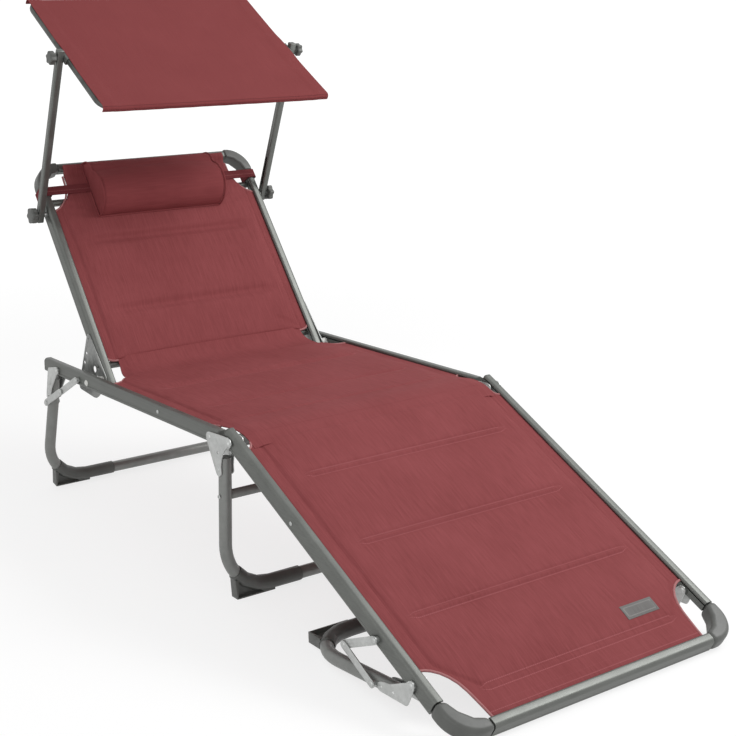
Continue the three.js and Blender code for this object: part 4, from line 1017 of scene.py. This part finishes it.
profile = shade_profile()
run = lengths_along(profile)
shade_sheet = grid("shade_sheet", len(profile) - 1, 96)
spots = []
for vertex in shade_sheet.data.vertices:
    index = round((vertex.co.x + 1) / 2 * (len(profile) - 1))
    y = vertex.co.y * shade_edge
    beyond = ease(abs(y), 256 * mm, 262 * mm)
    first, last = round(12 * beyond), len(profile) - 1 - round(12 * beyond)
    x, z = profile[min(max(index, first), last)]
    near_block = 1 - ease(math.hypot(x, abs(y) - 289 * mm), 22 * mm, 60 * mm)
    flat = ease(z, 0, 5 * mm)
    pucker = 0.35 * mm * math.sin(y / (9 * mm)) * math.sin(y / (23 * mm) + 1)
    spots.append((run[index], y))
    raised = (1.9 * near_block + 1.2 * beyond) * mm * flat
    vertex.co = (x + (pucker if x > 150 * mm else 0), y, z + raised)
seam_in = 46 * mm
write_maps(shade_sheet, spots, [(y, min(abs(way - run[-1] + seam_in), abs(way - seam_in)) + 3.2 * mm)
                                for way, y in spots])
modified(shade_sheet, "SOLIDIFY", thickness=1 * mm, offset=0)
softened(shade_sheet, 0, 1, 60)
settle(shade_sheet, shade)
dress(shade_sheet, "canopy", shade_cloth, "shade_fabric", "canopy_fabric")

# Studio. A pale sweep of floor, soft lamps above and to the front, and the camera of the picture.
# The floor glows more with distance, for the camera only, so that it runs into the white world.
bpy.ops.object.select_all(action="DESELECT")
bpy.ops.mesh.primitive_plane_add(size=400)
floor = fresh("studio_floor")
glow_start, glow_end = 1.8, 4.5


def seen_rays(tree):
    """One for the rays of the camera, of a reflection and through a clear body, else zero."""
    rays = tree.nodes.new("ShaderNodeLightPath").outputs
    return maths(tree, "MAXIMUM", rays["Is Camera Ray"],
                 maths(tree, "MAXIMUM", rays["Is Glossy Ray"], rays["Is Transmission Ray"]))


paper = bpy.data.materials.new("studio_paper")
paper.use_nodes = True
tree = paper.node_tree
shader = tree.nodes["Principled BSDF"]
shader.inputs["Base Color"].default_value = (0.9, 0.9, 0.9, 1)
shader.inputs["Roughness"].default_value = 0.9
where = node(tree, "ShaderNodeVectorMath", i0=tree.nodes.new("ShaderNodeTexCoord").outputs["Object"])
where.operation = "LENGTH"
distant = node(tree, "ShaderNodeMapRange", Value=where.outputs["Value"], i1=glow_start, i2=glow_end)
share = maths(tree, "MULTIPLY_ADD", distant.outputs[0], 0.3, 0.7)
glow = node(tree, "ShaderNodeEmission", Color=(1, 1, 1, 1), Strength=1.08)
mixed = node(tree, "ShaderNodeMixShader", i0=maths(tree, "MULTIPLY", seen_rays(tree), share),
             i1=shader.outputs[0], i2=glow.outputs[0])
tree.links.new(mixed.outputs[0], tree.nodes["Material Output"].inputs[0])
floor.data.materials.append(paper)

world = bpy.context.scene.world or bpy.data.worlds.new("studio")
bpy.context.scene.world = world
world.use_nodes = True
tree = world.node_tree
sky = tree.nodes["Background"].inputs
sky["Color"].default_value = (1, 1, 1, 1)
tree.links.new(maths(tree, "MULTIPLY_ADD", seen_rays(tree), 0.45, 0.55), sky["Strength"])


def lamp(name, size, power, spot, target=(0, 0, 0.4)):
    light = bpy.data.lights.new(name, "AREA")
    light.size = size
    light.energy = power
    holder = bpy.data.objects.new(name, light)
    bpy.context.scene.collection.objects.link(holder)
    holder.location = spot
    holder.rotation_euler = (Vector(spot) - Vector(target)).to_track_quat("Z", "Y").to_euler()


lamp("key_lamp", 1.8, 80, (1.3, 2.4, 2.9))
lamp("fill_lamp", 3, 22, (1.6, -2.6, 1.6))
camera = bpy.data.objects.new("camera", bpy.data.cameras.new("camera"))
bpy.context.scene.collection.objects.link(camera)
camera.matrix_world = Matrix((
    (0.557312, -0.191077, 0.808018, 2.182446), (0.830293, 0.132944, -0.541238, -1.689212),
    (-0.004003, 0.97253, 0.232741, 1.137613), (0, 0, 0, 1)))
camera.data.lens = 68.88
camera.data.sensor_width = 36
camera.data.shift_x = 0.1772
camera.data.shift_y = -0.0592
bpy.context.scene.camera = camera
bpy.context.scene.view_settings.view_transform = "Standard"
